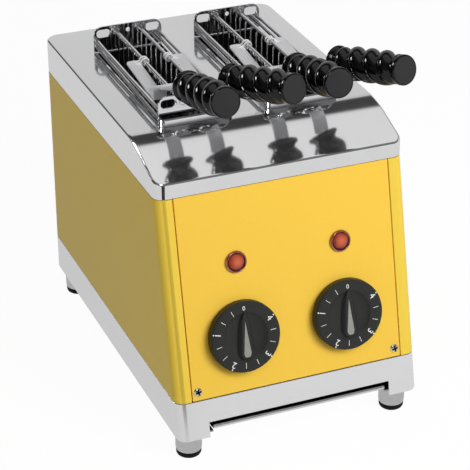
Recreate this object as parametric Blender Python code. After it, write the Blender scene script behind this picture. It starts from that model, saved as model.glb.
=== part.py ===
# Two-slot sandwich toaster with lift-out spring tongs, modelled piece by piece.
# Metres, +Z up. X runs across the body, +Y points to the back, the feet stand on Z = 0.
import math

import bmesh
import bpy
from mathutils import Matrix, Vector

# Whole body
BODY_WIDTH = 0.195
BODY_DEPTH = 0.300
FRONT_SLOPE = math.radians(12.6)
FOOT_HEIGHT = 0.022
BASE_HEIGHT = 0.029
CASING_HEIGHT = 0.1515
COVER_HEIGHT = 0.0275
FRONT_CORNER = 0.008
BACK_CORNER = 0.011
SHEET = 0.0015
GAP = 0.0003
OVERRUN = 0.004
OVERLAP = 0.0001
WELD = 0.000005

# Base frame, pan, feet and crumb tray
NOTCH_TO_SIDE = 0.02425
NOTCH_HEIGHT = 0.0114
PAN_RISE = 0.0027
FOOT_RADIUS = 0.010
FOOT_TO_SIDE = 0.0135
FOOT_TO_FRONT = 0.018
FOOT_TO_BACK = 0.018
PAD_HEIGHT = 0.004
PAD_RADIUS = 0.0094
PAD_FLAT_RADIUS = 0.0070
STUD_RADIUS = 0.003
STUD_RISE = 0.004
TRAY_TO_NOTCH = 0.00325
TRAY_TO_BACK = 0.0465
TRAY_HEIGHT = 0.0056
TRAY_LIP_RADIUS = 0.0022
TRAY_LIP_INSET = 0.0035

# Casing, front panel and its screws
SEAM_TO_SIDE = 0.0125
PANEL_FLANGE = 0.012
SCREW_TO_SEAM = 0.0053
SCREW_RISE = 0.0072
SCREW_HEAD_RADIUS = 0.0033
SCREW_HEAD_HEIGHT = 0.0018
SCREW_SHANK_RADIUS = 0.0018
SCREW_LENGTH = 0.007
DRIVE_WIDTH = 0.0009
DRIVE_DEPTH = 0.0009
DRIVE_TURN = math.radians(13)

# Top cover
BAND_HEIGHT = 0.012
BEND_SETBACK = 0.045
COVER_EDGE = 0.002
COVER_BEND = 0.006

# Slots and tongs
SLOT_OFFSET = 0.0424
SLOT_WIDTH = 0.053
SLOT_FRONT = 0.100
SLOT_LENGTH = 0.150
SLOT_CORNER = 0.003
TONG_WIDTH = 0.0566
BRACKET_HEIGHT = 0.021
BRACKET_CORNER = 0.007
BRACKET_SETBACK = 0.005
BRACKET_EYE_RADIUS = 0.0018
WINDOW_EDGE = 0.0036
WINDOW_LOW = 0.0085
WINDOW_TO_BOSS = 0.0054
LIP_HEIGHT = 0.0052
LIP_TO_SLOT = 0.0005
LIP_CHAMFER = 0.0025
ROD_RADIUS = 0.0015
ROD_INSET = 0.0019
LOW_ROD_BACK = 0.0056
LOW_ROD_FRONT = 0.0026
HIGH_ROD_BACK = 0.0103
HIGH_ROD_FRONT = 0.0133
JAW_OFFSET = 0.0098
JAW_AXIS_HEIGHT = 0.0158
JAW_AXIS_RADIUS = 0.0024
BOSS_WALL = 0.0018
BOSS_LENGTH = 0.0015
BAR_HALF_WIDTH = 0.0023
BAR_HALF_HEIGHT = 0.0013
GRID_THICKNESS = 0.0016
GRID_DROP = 0.1158
GRID_TO_BRACKET = 0.003
GRID_WIRE = 0.002
GRID_COLUMNS = 12
GRID_ROWS = 2
GRID_TOP_STRIP = 0.004
LEDGE_WIDTH = 0.0088

# Tong levers and handles
LEVER_SHEET = 0.0015
STRIP_OUTER = 0.0232
STRIP_INNER = 0.0130
CLIP_SHARE = 0.413
CLIP_LENGTH = 0.008
CLIP_REACH = 0.0045
STRIP_BACK_HEIGHT = 0.0135
STRIP_LOW_HEIGHT = 0.008
STRIP_BEND_SHARE = 0.319
CROSSBAR_TO_BRACKET = 0.0215
CROSSBAR_HEIGHT = 0.0045
CROSSBAR_WIDTH = 0.024
STEM_WIDTH = 0.011
TANG_RADIUS = 0.003
TANG_LENGTH = 0.018
HANDLE_LEFT_OFFSET = 0.0140
HANDLE_RIGHT_OFFSET = 0.0190
HANDLE_FRONT_OF_BRACKET = 0.023
HANDLE_RISE = 0.0375
HANDLE_TILT = math.radians(13.8)
HANDLE_SPLAY = math.radians(15.0)
HANDLE_LENGTH = 0.076
HANDLE_RADIUS = 0.0125
HANDLE_GROOVE = 0.0032
HANDLE_PITCH = 0.036
COLLAR_RADIUS = 0.0118
COLLAR_LENGTH = 0.0035
NECK_RADIUS = 0.0085
END_RADIUS = 0.011
END_LENGTH = 0.005
HANDLE_SIDES = 16
HANDLE_RINGS = 20

# Knobs, timers and lamps
DIAL_SHARE = 0.21282
KNOB_HEIGHT = 0.0722
KNOB_RADIUS = 0.0272
KNOB_THICKNESS = 0.0070
KNOB_STANDOFF = 0.0012
KNOB_SIDES = 42
KNOB_CHAMFER = 0.001
BOWL_HALF_WIDTH = 0.0168
BOWL_HALF_HEIGHT = 0.0188
BOWL_DEPTH = 0.0041
BOWL_LIFT = 0.0004
GRIP_RISE = 0.0006
GRIP_TOP = 0.0203
GRIP_SHOULDER = 0.0125
GRIP_FOOT = 0.0168
GRIP_HALF_WIDTH = 0.0044
GRIP_SHOULDER_HALF_WIDTH = 0.0024
INSERT_MARGIN = 0.0013
INSERT_DEPTH = 0.0008
INSERT_TOP = 0.0135
SHAFT_RADIUS = 0.0025
SHAFT_IN_KNOB = 0.0046
SHAFT_IN_TIMER = 0.016
TIMER_WIDTH = 0.042
TIMER_DEPTH = 0.030
BUSH_RADIUS = 0.0048
BUSH_LENGTH = 0.0022
LAMP_HEIGHT = 0.1268
LAMP_RADIUS = 0.0083
LAMP_RIM = 0.0018
LAMP_RIM_HEIGHT = 0.0022
LAMP_BARREL_RADIUS = 0.0066
LAMP_BARREL_LENGTH = 0.014
LAMP_WALL = 0.0012
LENS_DOME = 0.0016

# Heating chamber, elements and wiring
CHAMBER_TO_SIDE = 0.0095
CHAMBER_TO_SLOT = 0.006
CHAMBER_HEIGHT = 0.150
TUBE_RADIUS = 0.005
TUBE_TO_CHAMBER = 0.0085
TUBE_TOP_DROP = 0.052
TUBE_SPACING = 0.060
TUBE_OVERHANG = 0.009
HOLDER_WIDTH = 0.015
HOLDER_MARGIN = 0.009
HOLDER_THICKNESS = 0.007
GLAND_TO_SIDE = 0.0425
GLAND_HEIGHT = 0.046
GLAND_RADIUS = 0.009
GLAND_RIM = 0.003
GLAND_SHOULDER_SHARE = 0.7
GLAND_BARREL_RADIUS = 0.0065
GLAND_INNER_LENGTH = 0.012
GLAND_BORE = 0.0035
BLOCK_WIDTH = 0.034
BLOCK_DEPTH = 0.016
BLOCK_HEIGHT = 0.014
BLOCK_TO_BACK = 0.012
BLOCK_SCREW_RADIUS = 0.0022

# Heights and faces that follow from the sizes above
BASE_BOTTOM = FOOT_HEIGHT
BASE_TOP = BASE_BOTTOM + BASE_HEIGHT
CASING_TOP = BASE_TOP + CASING_HEIGHT
COVER_TOP = CASING_TOP + COVER_HEIGHT
HALF_WIDTH = BODY_WIDTH / 2
NOTCH_HALF = HALF_WIDTH - NOTCH_TO_SIDE
TRAY_HALF = NOTCH_HALF - TRAY_TO_NOTCH
TRAY_DEPTH = BODY_DEPTH - TRAY_LIP_INSET - TRAY_TO_BACK
SEAM_OFFSET = HALF_WIDTH - SEAM_TO_SIDE
DIAL_OFFSET = BODY_WIDTH * DIAL_SHARE
CHAMBER_HALF = HALF_WIDTH - CHAMBER_TO_SIDE
TUBE_OFFSET = CHAMBER_HALF - TUBE_TO_CHAMBER
GLAND_OFFSET = HALF_WIDTH - GLAND_TO_SIDE
PAN_TOP = BASE_BOTTOM + PAN_RISE + SHEET
BACK_BRACKET = SLOT_FRONT + SLOT_LENGTH + GAP
FRONT_BRACKET = SLOT_FRONT + BRACKET_SETBACK
JAW_LENGTH = BACK_BRACKET - FRONT_BRACKET
CLIP_BACK = BACK_BRACKET - JAW_LENGTH * CLIP_SHARE
CHAMBER_TOP = COVER_TOP - SHEET - GAP
CHAMBER_BOTTOM = CHAMBER_TOP - CHAMBER_HEIGHT
CHAMBER_FRONT = SLOT_FRONT - CHAMBER_TO_SLOT
CHAMBER_BACK = SLOT_FRONT + SLOT_LENGTH + CHAMBER_TO_SLOT
LEVER_TOP = JAW_AXIS_HEIGHT + BAR_HALF_HEIGHT + GAP
NORMAL = Vector((0, -math.cos(FRONT_SLOPE), math.sin(FRONT_SLOPE)))


def front_y(height):
    """Where the sloping front face stands at a height above the ground."""
    return (height - BASE_BOTTOM) * math.tan(FRONT_SLOPE)


def finish(name, color, roughness, metallic=0.0, alpha=1.0):
    """A material made once and shared by the pieces of that finish."""
    material = bpy.data.materials.get(name)
    if material is None:
        material = bpy.data.materials.new(name)
        material.use_nodes = True
        shader = material.node_tree.nodes["Principled BSDF"]
        shader.inputs["Base Color"].default_value = (*color, 1.0)
        shader.inputs["Roughness"].default_value = roughness
        shader.inputs["Metallic"].default_value = metallic
        shader.inputs["Alpha"].default_value = alpha
    return material


def chrome():
    return finish("polished_steel", (0.80, 0.80, 0.81), 0.12, 1.0)


def satin_steel():
    return finish("satin_steel", (0.72, 0.72, 0.73), 0.32, 1.0)


def inner_steel():
    return finish("inner_steel", (0.52, 0.52, 0.53), 0.45, 1.0)


def yellow_paint():
    return finish("yellow_paint", (0.83, 0.58, 0.07), 0.35)


def black_plastic():
    return finish("black_plastic", (0.012, 0.012, 0.013), 0.20)


def grey_plastic():
    return finish("grey_plastic", (0.30, 0.30, 0.27), 0.45)


def black_rubber():
    return finish("black_rubber", (0.015, 0.015, 0.016), 0.75)


def red_lens():
    return finish("red_lens", (0.45, 0.06, 0.03), 0.12)


def quartz():
    return finish("quartz_glass", (0.86, 0.84, 0.80), 0.10)


def ceramic():
    return finish("white_ceramic", (0.82, 0.80, 0.76), 0.55)


def make(name, shape, material):
    """Turn a bmesh into a named object with outward faces and smooth round sides."""
    bmesh.ops.recalc_face_normals(shape, faces=shape.faces)
    mesh = bpy.data.meshes.new(name)
    shape.to_mesh(mesh)
    shape.free()
    mesh.shade_smooth()
    mesh.set_sharp_from_angle(angle=math.radians(40))
    piece = bpy.data.objects.new(name, mesh)
    bpy.context.collection.objects.link(piece)
    if material:
        mesh.materials.append(material)
    return piece


def box(name, low, high, material=None):
    """A block between its lowest and highest corners."""
    shape = bmesh.new()
    bmesh.ops.create_cube(shape, size=1)
    middle = (Vector(low) + Vector(high)) / 2
    size = Vector(high) - Vector(low)
    bmesh.ops.scale(shape, vec=size, verts=shape.verts)
    bmesh.ops.translate(shape, vec=middle, verts=shape.verts)
    return make(name, shape, material)


def prism(name, outline, start, end, along="X", material=None):
    """An outline of two coordinates, extruded along X, Y or Z from start to end."""
    place = {
        "X": lambda u, v: (start, u, v),
        "Y": lambda u, v: (u, start, v),
        "Z": lambda u, v: (u, v, start),
    }[along]
    travel = {"X": (1, 0, 0), "Y": (0, 1, 0), "Z": (0, 0, 1)}[along]
    shape = bmesh.new()
    face = shape.faces.new([shape.verts.new(place(u, v)) for u, v in outline])
    side = bmesh.ops.extrude_face_region(shape, geom=[face])
    moved = [item for item in side["geom"] if isinstance(item, bmesh.types.BMVert)]
    bmesh.ops.translate(shape, vec=Vector(travel) * (end - start), verts=moved)
    return make(name, shape, material)


def rod(name, start, end, radius, sides=16, material=None, end_radius=None):
    """A round bar, or a cone, between two points."""
    start = Vector(start)
    end = Vector(end)
    direction = end - start
    turn = direction.to_track_quat("Z", "Y").to_matrix().to_4x4()
    shape = bmesh.new()
    bmesh.ops.create_cone(
        shape, cap_ends=True, segments=sides, radius1=radius,
        radius2=radius if end_radius is None else end_radius, depth=direction.length,
        matrix=Matrix.Translation((start + end) / 2) @ turn)
    return make(name, shape, material)


def turned(name, profile, sides=32, material=None):
    """A profile of radius and height pairs, starting and ending on the axis, spun about Z."""
    shape = bmesh.new()
    points = [shape.verts.new((radius, 0, height)) for radius, height in profile]
    edges = [shape.edges.new(pair) for pair in zip(points, points[1:])]
    bmesh.ops.spin(shape, geom=points + edges, cent=(0, 0, 0), axis=(0, 0, 1),
                   angle=math.tau, steps=sides, use_merge=True)
    bmesh.ops.remove_doubles(shape, verts=shape.verts, dist=OVERLAP / 10)
    return make(name, shape, material)


def combine(target, tools, operation):
    """Join or cut a piece with tool pieces, which are used up."""
    for tool in tools:
        step = target.modifiers.new(tool.name, "BOOLEAN")
        step.operation = operation
        step.solver = "EXACT"
        step.object = tool
    bpy.context.view_layer.update()
    graph = bpy.context.evaluated_depsgraph_get()
    mesh = bpy.data.meshes.new_from_object(target.evaluated_get(graph), depsgraph=graph)
    target.modifiers.clear()
    shape = bmesh.new()
    shape.from_mesh(mesh)
    bmesh.ops.remove_doubles(shape, verts=shape.verts, dist=WELD)
    shape.to_mesh(mesh)
    shape.free()
    target.data = mesh
    mesh.name = target.name
    for tool in tools:
        bpy.data.objects.remove(tool)
    return target


def join(target, *tools):
    return combine(target, tools, "UNION")


def cut(target, *tools):
    return combine(target, tools, "DIFFERENCE")


def group(name, pieces):
    """Several separate tool shapes as one tool."""
    shape = bmesh.new()
    for piece in pieces:
        shape.from_mesh(piece.data)
        bpy.data.objects.remove(piece)
    return make(name, shape, None)


def rounded_rectangle(low_u, high_u, low_v, high_v, radius, steps=4):
    """The outline of a rectangle with round corners."""
    corners = (
        (high_u - radius, high_v - radius, 0), (low_u + radius, high_v - radius, 1),
        (low_u + radius, low_v + radius, 2), (high_u - radius, low_v + radius, 3))
    outline = []
    for centre_u, centre_v, quarter in corners:
        for step in range(steps + 1):
            angle = math.pi / 2 * (quarter + step / steps)
            outline.append((centre_u + radius * math.cos(angle), centre_v + radius * math.sin(angle)))
    return outline


def hull(name, low, high, inset, material=None):
    """The body's outer form between two heights, inset on every upright side."""
    shape = bmesh.new()
    side = HALF_WIDTH - inset
    back = BODY_DEPTH - inset
    step_in = inset / math.cos(FRONT_SLOPE)
    ring = [[shape.verts.new((x, y, z)) for x, y in (
        (-side, front_y(z) + step_in), (side, front_y(z) + step_in), (side, back), (-side, back))]
        for z in (low, high)]
    shape.faces.new(ring[0])
    shape.faces.new(ring[1])
    uprights = [[], []]
    for index in range(len(ring[0])):
        after = (index + 1) % len(ring[0])
        shape.faces.new((ring[0][index], ring[0][after], ring[1][after], ring[1][index]))
        edge = shape.edges.get((ring[0][index], ring[1][index]))
        uprights[0 if index < 2 else 1].append(edge)
    for edges, radius in zip(uprights, (FRONT_CORNER, BACK_CORNER)):
        if radius > inset:
            bmesh.ops.bevel(shape, geom=edges, offset=radius - inset, offset_type="OFFSET",
                            segments=5, profile=0.5, affect="EDGES", material=-1)
    return make(name, shape, material)


def panel_place(offset, height):
    """The frame of a piece on the sloping panel: its Z axis points out of the panel."""
    place = Vector((offset, front_y(BASE_BOTTOM + height), BASE_BOTTOM + height))
    return Matrix.Translation(place) @ Matrix.Rotation(math.pi / 2 - FRONT_SLOPE, 4, "X")


def seat(piece, place):
    """Give a piece made about its own axis its place on the body."""
    piece.matrix_world = place
    return piece


def set_origin(piece, point):
    """Move a piece's origin to a point without moving the piece."""
    piece.data.transform(Matrix.Translation(-Vector(point)) @ piece.matrix_world)
    piece.matrix_world = Matrix.Translation(point)
    return piece


def panel_bore(offset, height, radius, depth):
    """A round cutter square to the sloping panel."""
    tool = rod("panel_bore", (0, 0, -depth), (0, 0, OVERRUN), radius, 20)
    tool.data.transform(panel_place(offset, height))
    return tool


def screw_places():
    return [(side * (SEAM_OFFSET - SCREW_TO_SEAM), BASE_HEIGHT + SCREW_RISE) for side in (-1, 1)]


def build_base():
    """The bright base frame with the notch that the crumb tray passes through."""
    frame = hull("base_frame", BASE_BOTTOM, BASE_TOP, 0, chrome())
    inside = hull("inside", BASE_BOTTOM - OVERRUN, BASE_TOP + OVERRUN, SHEET)
    half = NOTCH_HALF
    notch = box("notch", (-half, -OVERRUN, BASE_BOTTOM - OVERRUN),
                (half, SHEET + front_y(BASE_TOP) + OVERRUN, BASE_BOTTOM + NOTCH_HEIGHT))
    return cut(frame, inside, notch)


def foot_places():
    places = {}
    for row, y in (("front", FOOT_TO_FRONT), ("rear", BODY_DEPTH - FOOT_TO_BACK)):
        for name, side in (("left", -1), ("right", 1)):
            places[row + "_" + name] = (side * (HALF_WIDTH - FOOT_TO_SIDE), y)
    return places


def build_pan():
    """The pressed pan that closes the underside, holds the feet and carries the tray."""
    pan = hull("base_pan", PAN_TOP - SHEET, PAN_TOP, SHEET + GAP, satin_steel())
    holes = [rod("foot_hole", (x, y, PAN_TOP - SHEET - OVERRUN), (x, y, PAN_TOP + OVERRUN),
                 STUD_RADIUS + GAP, 12) for x, y in foot_places().values()]
    return cut(pan, *holes)


def build_feet():
    """A satin foot screwed through the pan at each corner, with a domed rubber pad."""
    top = PAN_TOP - SHEET - GAP
    for corner, (x, y) in foot_places().items():
        foot = turned(corner + "_foot", (
            (0, PAD_HEIGHT), (PAD_RADIUS, PAD_HEIGHT), (FOOT_RADIUS, PAD_HEIGHT + PAD_RADIUS / 3),
            (FOOT_RADIUS, top), (STUD_RADIUS, top), (STUD_RADIUS, PAN_TOP + STUD_RISE),
            (0, PAN_TOP + STUD_RISE)), 20, satin_steel())
        foot.location = (x, y, 0)
        pad_top = PAD_HEIGHT - GAP
        dome = [(PAD_FLAT_RADIUS + (PAD_RADIUS - PAD_FLAT_RADIUS) * math.sin(turn),
                 pad_top * (1 - math.cos(turn))) for turn in (0, math.pi / 6, math.pi / 3, math.pi / 2)]
        pad = turned(corner + "_foot_pad", [(0, 0)] + dome + [(0, pad_top)], 20, black_rubber())
        pad.location = (x, y, 0)


def build_tray():
    """The shallow crumb tray that slides out of the notch, with its rolled front lip."""
    half = TRAY_HALF
    front = TRAY_LIP_INSET
    bottom = PAN_TOP + GAP
    tray = box("crumb_tray", (-half, front, bottom), (half, front + TRAY_DEPTH, bottom + TRAY_HEIGHT),
               satin_steel())
    hollow = box("hollow", (-half + SHEET, front + SHEET + TRAY_LIP_RADIUS, bottom + SHEET),
                 (half - SHEET, front + TRAY_DEPTH - SHEET, bottom + TRAY_HEIGHT + OVERRUN))
    middle = bottom + TRAY_HEIGHT / 2
    roll = front + SHEET / 2
    lip = rod("lip", (GAP - half, roll, middle), (half - GAP, roll, middle), TRAY_LIP_RADIUS, 12)
    return set_origin(join(cut(tray, hollow), lip), (0, front, middle))


def sloped(name, outline, low, high, material=None):
    """An outline of across and depth behind the front face, run up along the slope."""
    shape = bmesh.new()
    rings = [[shape.verts.new((x, front_y(z) + depth / math.cos(FRONT_SLOPE), z)) for x, depth in outline]
             for z in (low, high)]
    for index in range(len(outline)):
        beside = (index + 1) % len(outline)
        shape.faces.new((rings[0][index], rings[0][beside], rings[1][beside], rings[1][index]))
    shape.faces.new(rings[0])
    shape.faces.new(rings[1])
    return make(name, shape, material)


def build_casing():
    """The yellow side and back sheet, whose front returns end at the panel seams."""
    low = BASE_TOP + GAP
    high = CASING_TOP - GAP
    casing = hull("casing", low, high, 0, yellow_paint())
    inside = hull("inside", low - OVERRUN, high + OVERRUN, SHEET)
    window = sloped("window", (
        (-SEAM_OFFSET, -OVERRUN), (SEAM_OFFSET, -OVERRUN), (SEAM_OFFSET, OVERRUN), (-SEAM_OFFSET, OVERRUN)),
        low - OVERRUN, high + OVERRUN)
    cut(casing, inside, window)
    flange_edge = SEAM_OFFSET - PANEL_FLANGE
    flat_edge = HALF_WIDTH - FRONT_CORNER
    front = SHEET + GAP
    back = front + SHEET
    flanges = []
    for side in (-1, 1):
        outline = ((flange_edge, front), (SEAM_OFFSET + GAP, front), (SEAM_OFFSET + GAP, SHEET - OVERLAP),
                   (flat_edge, SHEET - OVERLAP), (flat_edge, back), (flange_edge, back))
        flanges.append(sloped("flange", [(side * across, depth) for across, depth in outline],
                              low + SHEET, high - SHEET))
    join(casing, *flanges)
    bores = [panel_bore(x, z, SCREW_SHANK_RADIUS + GAP, 3 * SHEET) for x, z in screw_places()]
    rear = BASE_BOTTOM + GLAND_HEIGHT
    bores.append(rod("gland_hole", (GLAND_OFFSET, BODY_DEPTH - SHEET - OVERRUN, rear),
                     (GLAND_OFFSET, BODY_DEPTH + OVERRUN, rear), GLAND_BARREL_RADIUS + GAP, 20))
    return cut(casing, *bores)


def build_panel():
    """The yellow front panel, let in flush between the casing's returns."""
    half = SEAM_OFFSET - GAP
    panel = sloped("front_panel", ((-half, 0), (half, 0), (half, SHEET), (-half, SHEET)),
                   BASE_TOP + GAP, CASING_TOP - GAP, yellow_paint())
    bores = [panel_bore(x, z, SCREW_SHANK_RADIUS + GAP, 2 * SHEET) for x, z in screw_places()]
    for side in (-1, 1):
        bores.append(panel_bore(side * DIAL_OFFSET, KNOB_HEIGHT, BUSH_RADIUS + GAP, 2 * SHEET))
        bores.append(panel_bore(side * DIAL_OFFSET, LAMP_HEIGHT, LAMP_BARREL_RADIUS + GAP, 2 * SHEET))
    return cut(panel, *bores)


def build_screws():
    """The two pan-head screws at the panel's lower corners."""
    for name, (x, z) in zip(("left", "right"), screw_places()):
        crown = SCREW_HEAD_RADIUS * 0.72
        screw = turned(name + "_panel_screw", (
            (0, SCREW_HEAD_HEIGHT), (crown, SCREW_HEAD_HEIGHT),
            (SCREW_HEAD_RADIUS, SCREW_HEAD_HEIGHT / 2), (SCREW_HEAD_RADIUS, GAP),
            (SCREW_SHANK_RADIUS, GAP), (SCREW_SHANK_RADIUS, -SCREW_LENGTH), (0, -SCREW_LENGTH)),
            16, satin_steel())
        half = DRIVE_WIDTH / 2
        reach = crown * 0.8
        arm = ((reach, -half), (reach, half), (half, half))
        outline = []
        for quarter in range(4):
            turn = Matrix.Rotation(DRIVE_TURN + math.pi / 2 * quarter, 2)
            outline += [tuple(turn @ Vector(corner)) for corner in arm]
        cross = prism("cross", outline, SCREW_HEAD_HEIGHT - DRIVE_DEPTH, SCREW_HEAD_HEIGHT + OVERRUN, "Z")
        seat(cut(screw, cross), panel_place(x, z))


def cover_form(name, inset, low, material=None):
    """The cover's folded side view run across the body, with its corners rounded."""
    front = front_y(CASING_TOP) + inset
    back = BODY_DEPTH - inset
    top = COVER_TOP - inset
    fall = (COVER_HEIGHT - BAND_HEIGHT) / BEND_SETBACK
    side = HALF_WIDTH - inset
    bend_y = front_y(CASING_TOP) + BEND_SETBACK
    outline = ((front, low), (front, top - (bend_y - front) * fall), (bend_y, top),
               (back, top), (back, low))
    shape = bmesh.new()
    face = shape.faces.new([shape.verts.new((-side, y, z)) for y, z in outline])
    grown = bmesh.ops.extrude_face_region(shape, geom=[face])
    moved = [item for item in grown["geom"] if isinstance(item, bmesh.types.BMVert)]
    bmesh.ops.translate(shape, vec=(2 * side, 0, 0), verts=moved)
    bmesh.ops.recalc_face_normals(shape, faces=shape.faces)
    for at_front, radius in ((True, FRONT_CORNER), (False, BACK_CORNER)):
        edges = [edge for edge in shape.edges if is_upright(edge)
                 and (edge.verts[0].co.y < bend_y) == at_front]
        bmesh.ops.bevel(shape, geom=edges, offset=radius - inset, offset_type="OFFSET",
                        segments=5, profile=0.5, affect="EDGES", material=-1)
    shape.normal_update()
    if inset == 0:
        rim = [edge for edge in shape.edges if is_top_rim(edge)]
        bmesh.ops.bevel(shape, geom=rim, offset=COVER_EDGE, offset_type="OFFSET",
                        segments=2, profile=0.5, affect="EDGES", material=-1)
        shape.normal_update()
        bend = [edge for edge in shape.edges if is_shallow_bend(edge, bend_y)]
        bmesh.ops.bevel(shape, geom=bend, offset=COVER_BEND, offset_type="OFFSET",
                        segments=3, profile=0.5, affect="EDGES", material=-1)
    return make(name, shape, material)


def is_upright(edge):
    """True for a corner edge that stands upright."""
    ends = edge.verts[1].co - edge.verts[0].co
    return abs(ends.z) > OVERLAP and abs(ends.x) < OVERLAP and abs(ends.y) < OVERLAP


def is_top_rim(edge):
    """True where an upright side meets the top or the sloping face."""
    tilts = sorted(abs(face.normal.z) for face in edge.link_faces)
    up = max(face.normal.z for face in edge.link_faces)
    return tilts[0] < 0.1 and up > 0.5


def is_shallow_bend(edge, bend_y):
    """True for the edge across the body where the top folds down to the front."""
    return all(abs(vert.co.y - bend_y) < OVERLAP and vert.co.z > COVER_TOP - OVERLAP for vert in edge.verts)


def build_cover():
    """The bright top cover: side band, flat top with two slots, and sloping front."""
    cover = cover_form("top_cover", 0, CASING_TOP, chrome())
    inside = cover_form("inside", SHEET, CASING_TOP - OVERRUN)
    slots = []
    for side in (-1, 1):
        outline = rounded_rectangle(
            side * SLOT_OFFSET - SLOT_WIDTH / 2, side * SLOT_OFFSET + SLOT_WIDTH / 2,
            SLOT_FRONT, SLOT_FRONT + SLOT_LENGTH, SLOT_CORNER)
        slots.append(prism("slot", outline, COVER_TOP - SHEET - OVERRUN, COVER_TOP + OVERRUN, "Z"))
    return cut(cover, inside, *slots)


def tube_heights():
    return [COVER_TOP - TUBE_TOP_DROP - TUBE_SPACING * row for row in (0, 1)]


def tube_columns():
    return (("left", -TUBE_OFFSET), ("middle", 0), ("right", TUBE_OFFSET))


def build_chamber():
    """The open steel duct under the slots that the heating tubes pass through."""
    half = CHAMBER_HALF
    chamber = box("heating_chamber", (-half, CHAMBER_FRONT, CHAMBER_BOTTOM),
                  (half, CHAMBER_BACK, CHAMBER_TOP), inner_steel())
    tools = [box("inside", (-half + SHEET, CHAMBER_FRONT + SHEET, CHAMBER_BOTTOM - OVERRUN),
                 (half - SHEET, CHAMBER_BACK - SHEET, CHAMBER_TOP + OVERRUN))]
    for column, x in tube_columns():
        for z in tube_heights():
            tools.append(rod("tube_hole", (x, CHAMBER_FRONT - OVERRUN, z), (x, CHAMBER_BACK + OVERRUN, z),
                             TUBE_RADIUS + GAP, 12))
    return cut(chamber, *tools)


def build_elements():
    """Quartz heating tubes in two rows, held at both ends by ceramic strips."""
    for column, x in tube_columns():
        for row, z in zip(("upper", "lower"), tube_heights()):
            rod("%s_%s_quartz_tube" % (row, column), (x, CHAMBER_FRONT - TUBE_OVERHANG, z),
                (x, CHAMBER_BACK + TUBE_OVERHANG, z), TUBE_RADIUS, 12, quartz())
        half = HOLDER_WIDTH / 2
        low = min(tube_heights()) - HOLDER_MARGIN
        high = max(tube_heights()) + HOLDER_MARGIN
        ends = (("front", CHAMBER_FRONT - GAP - HOLDER_THICKNESS, CHAMBER_FRONT - GAP),
                ("rear", CHAMBER_BACK + GAP, CHAMBER_BACK + GAP + HOLDER_THICKNESS))
        for end, near, far in ends:
            strip = box("%s_%s_ceramic_strip" % (end, column), (x - half, near, low), (x + half, far, high),
                        ceramic())
            holes = [rod("tube_hole", (x, near - OVERRUN, z), (x, far + OVERRUN, z), TUBE_RADIUS + GAP, 12)
                     for z in tube_heights()]
            cut(strip, *holes)


def build_timers():
    """A clockwork timer behind the panel for each slot, with its turning shaft."""
    behind = SHEET + GAP
    half = TIMER_WIDTH / 2
    for name, side in (("left", -1), ("right", 1)):
        place = panel_place(side * DIAL_OFFSET, KNOB_HEIGHT)
        timer = box(name + "_timer", (-half, -half, -behind - TIMER_DEPTH), (half, half, -behind), ceramic())
        bush = rod("bush", (0, 0, -behind - OVERLAP), (0, 0, BUSH_LENGTH - behind), BUSH_RADIUS, 20)
        bore = rod("bore", (0, 0, -behind - SHAFT_IN_TIMER - GAP), (0, 0, OVERRUN), SHAFT_RADIUS + GAP, 16)
        seat(cut(join(timer, bush), bore), place)
        shaft = rod(name + "_timer_shaft", (0, 0, -behind - SHAFT_IN_TIMER),
                    (0, 0, KNOB_STANDOFF + SHAFT_IN_KNOB - GAP), SHAFT_RADIUS, 16, satin_steel())
        seat(shaft, place)


def grip_outline(margin, tip):
    """The pointer's outline: a point towards the zero mark, widening to a blunt foot."""
    foot = GRIP_FOOT - margin
    half = GRIP_HALF_WIDTH - margin
    shoulder = GRIP_SHOULDER_HALF_WIDTH - margin
    height = GRIP_SHOULDER - (GRIP_TOP - tip)
    return ((0, tip), (-shoulder, height), (-half, -foot * 0.8), (-half * 0.7, -foot), (half * 0.7, -foot),
            (half, -foot * 0.8), (shoulder, height))


def build_knobs():
    """The round timer knobs: a bowl in the face, crossed by a pointed grip with a grey insert."""
    face = KNOB_STANDOFF + KNOB_THICKNESS
    top = face + GRIP_RISE
    for name, side in (("left", -1), ("right", 1)):
        place = panel_place(side * DIAL_OFFSET, KNOB_HEIGHT)
        knob = turned(name + "_knob", (
            (0, KNOB_STANDOFF), (KNOB_RADIUS, KNOB_STANDOFF), (KNOB_RADIUS, face - KNOB_CHAMFER),
            (KNOB_RADIUS - KNOB_CHAMFER, face), (0, face)), KNOB_SIDES, black_plastic())
        knob.data.transform(Matrix.Rotation(math.tau / KNOB_SIDES / 4, 4, "Z"))
        shape = bmesh.new()
        bmesh.ops.create_uvsphere(shape, u_segments=22, v_segments=10, radius=1)
        bmesh.ops.scale(shape, vec=(BOWL_HALF_WIDTH, BOWL_HALF_HEIGHT, BOWL_DEPTH + BOWL_LIFT),
                        verts=shape.verts)
        bmesh.ops.translate(shape, vec=(0, 0, face + BOWL_LIFT), verts=shape.verts)
        bowl = make("bowl", shape, None)
        grip = prism("grip", grip_outline(0, GRIP_TOP), face - BOWL_DEPTH - OVERLAP, top, "Z")
        pocket = prism("pocket", grip_outline(INSERT_MARGIN, INSERT_TOP), top - INSERT_DEPTH - GAP,
                       top + OVERRUN, "Z")
        bore = rod("bore", (0, 0, 0), (0, 0, KNOB_STANDOFF + SHAFT_IN_KNOB), SHAFT_RADIUS + GAP, 16)
        seat(cut(join(cut(knob, bowl), grip), pocket, bore), place)
        insert = prism(name + "_knob_insert", grip_outline(INSERT_MARGIN + GAP, INSERT_TOP - GAP),
                       top - INSERT_DEPTH, top, "Z", grey_plastic())
        seat(insert, place)


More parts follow.
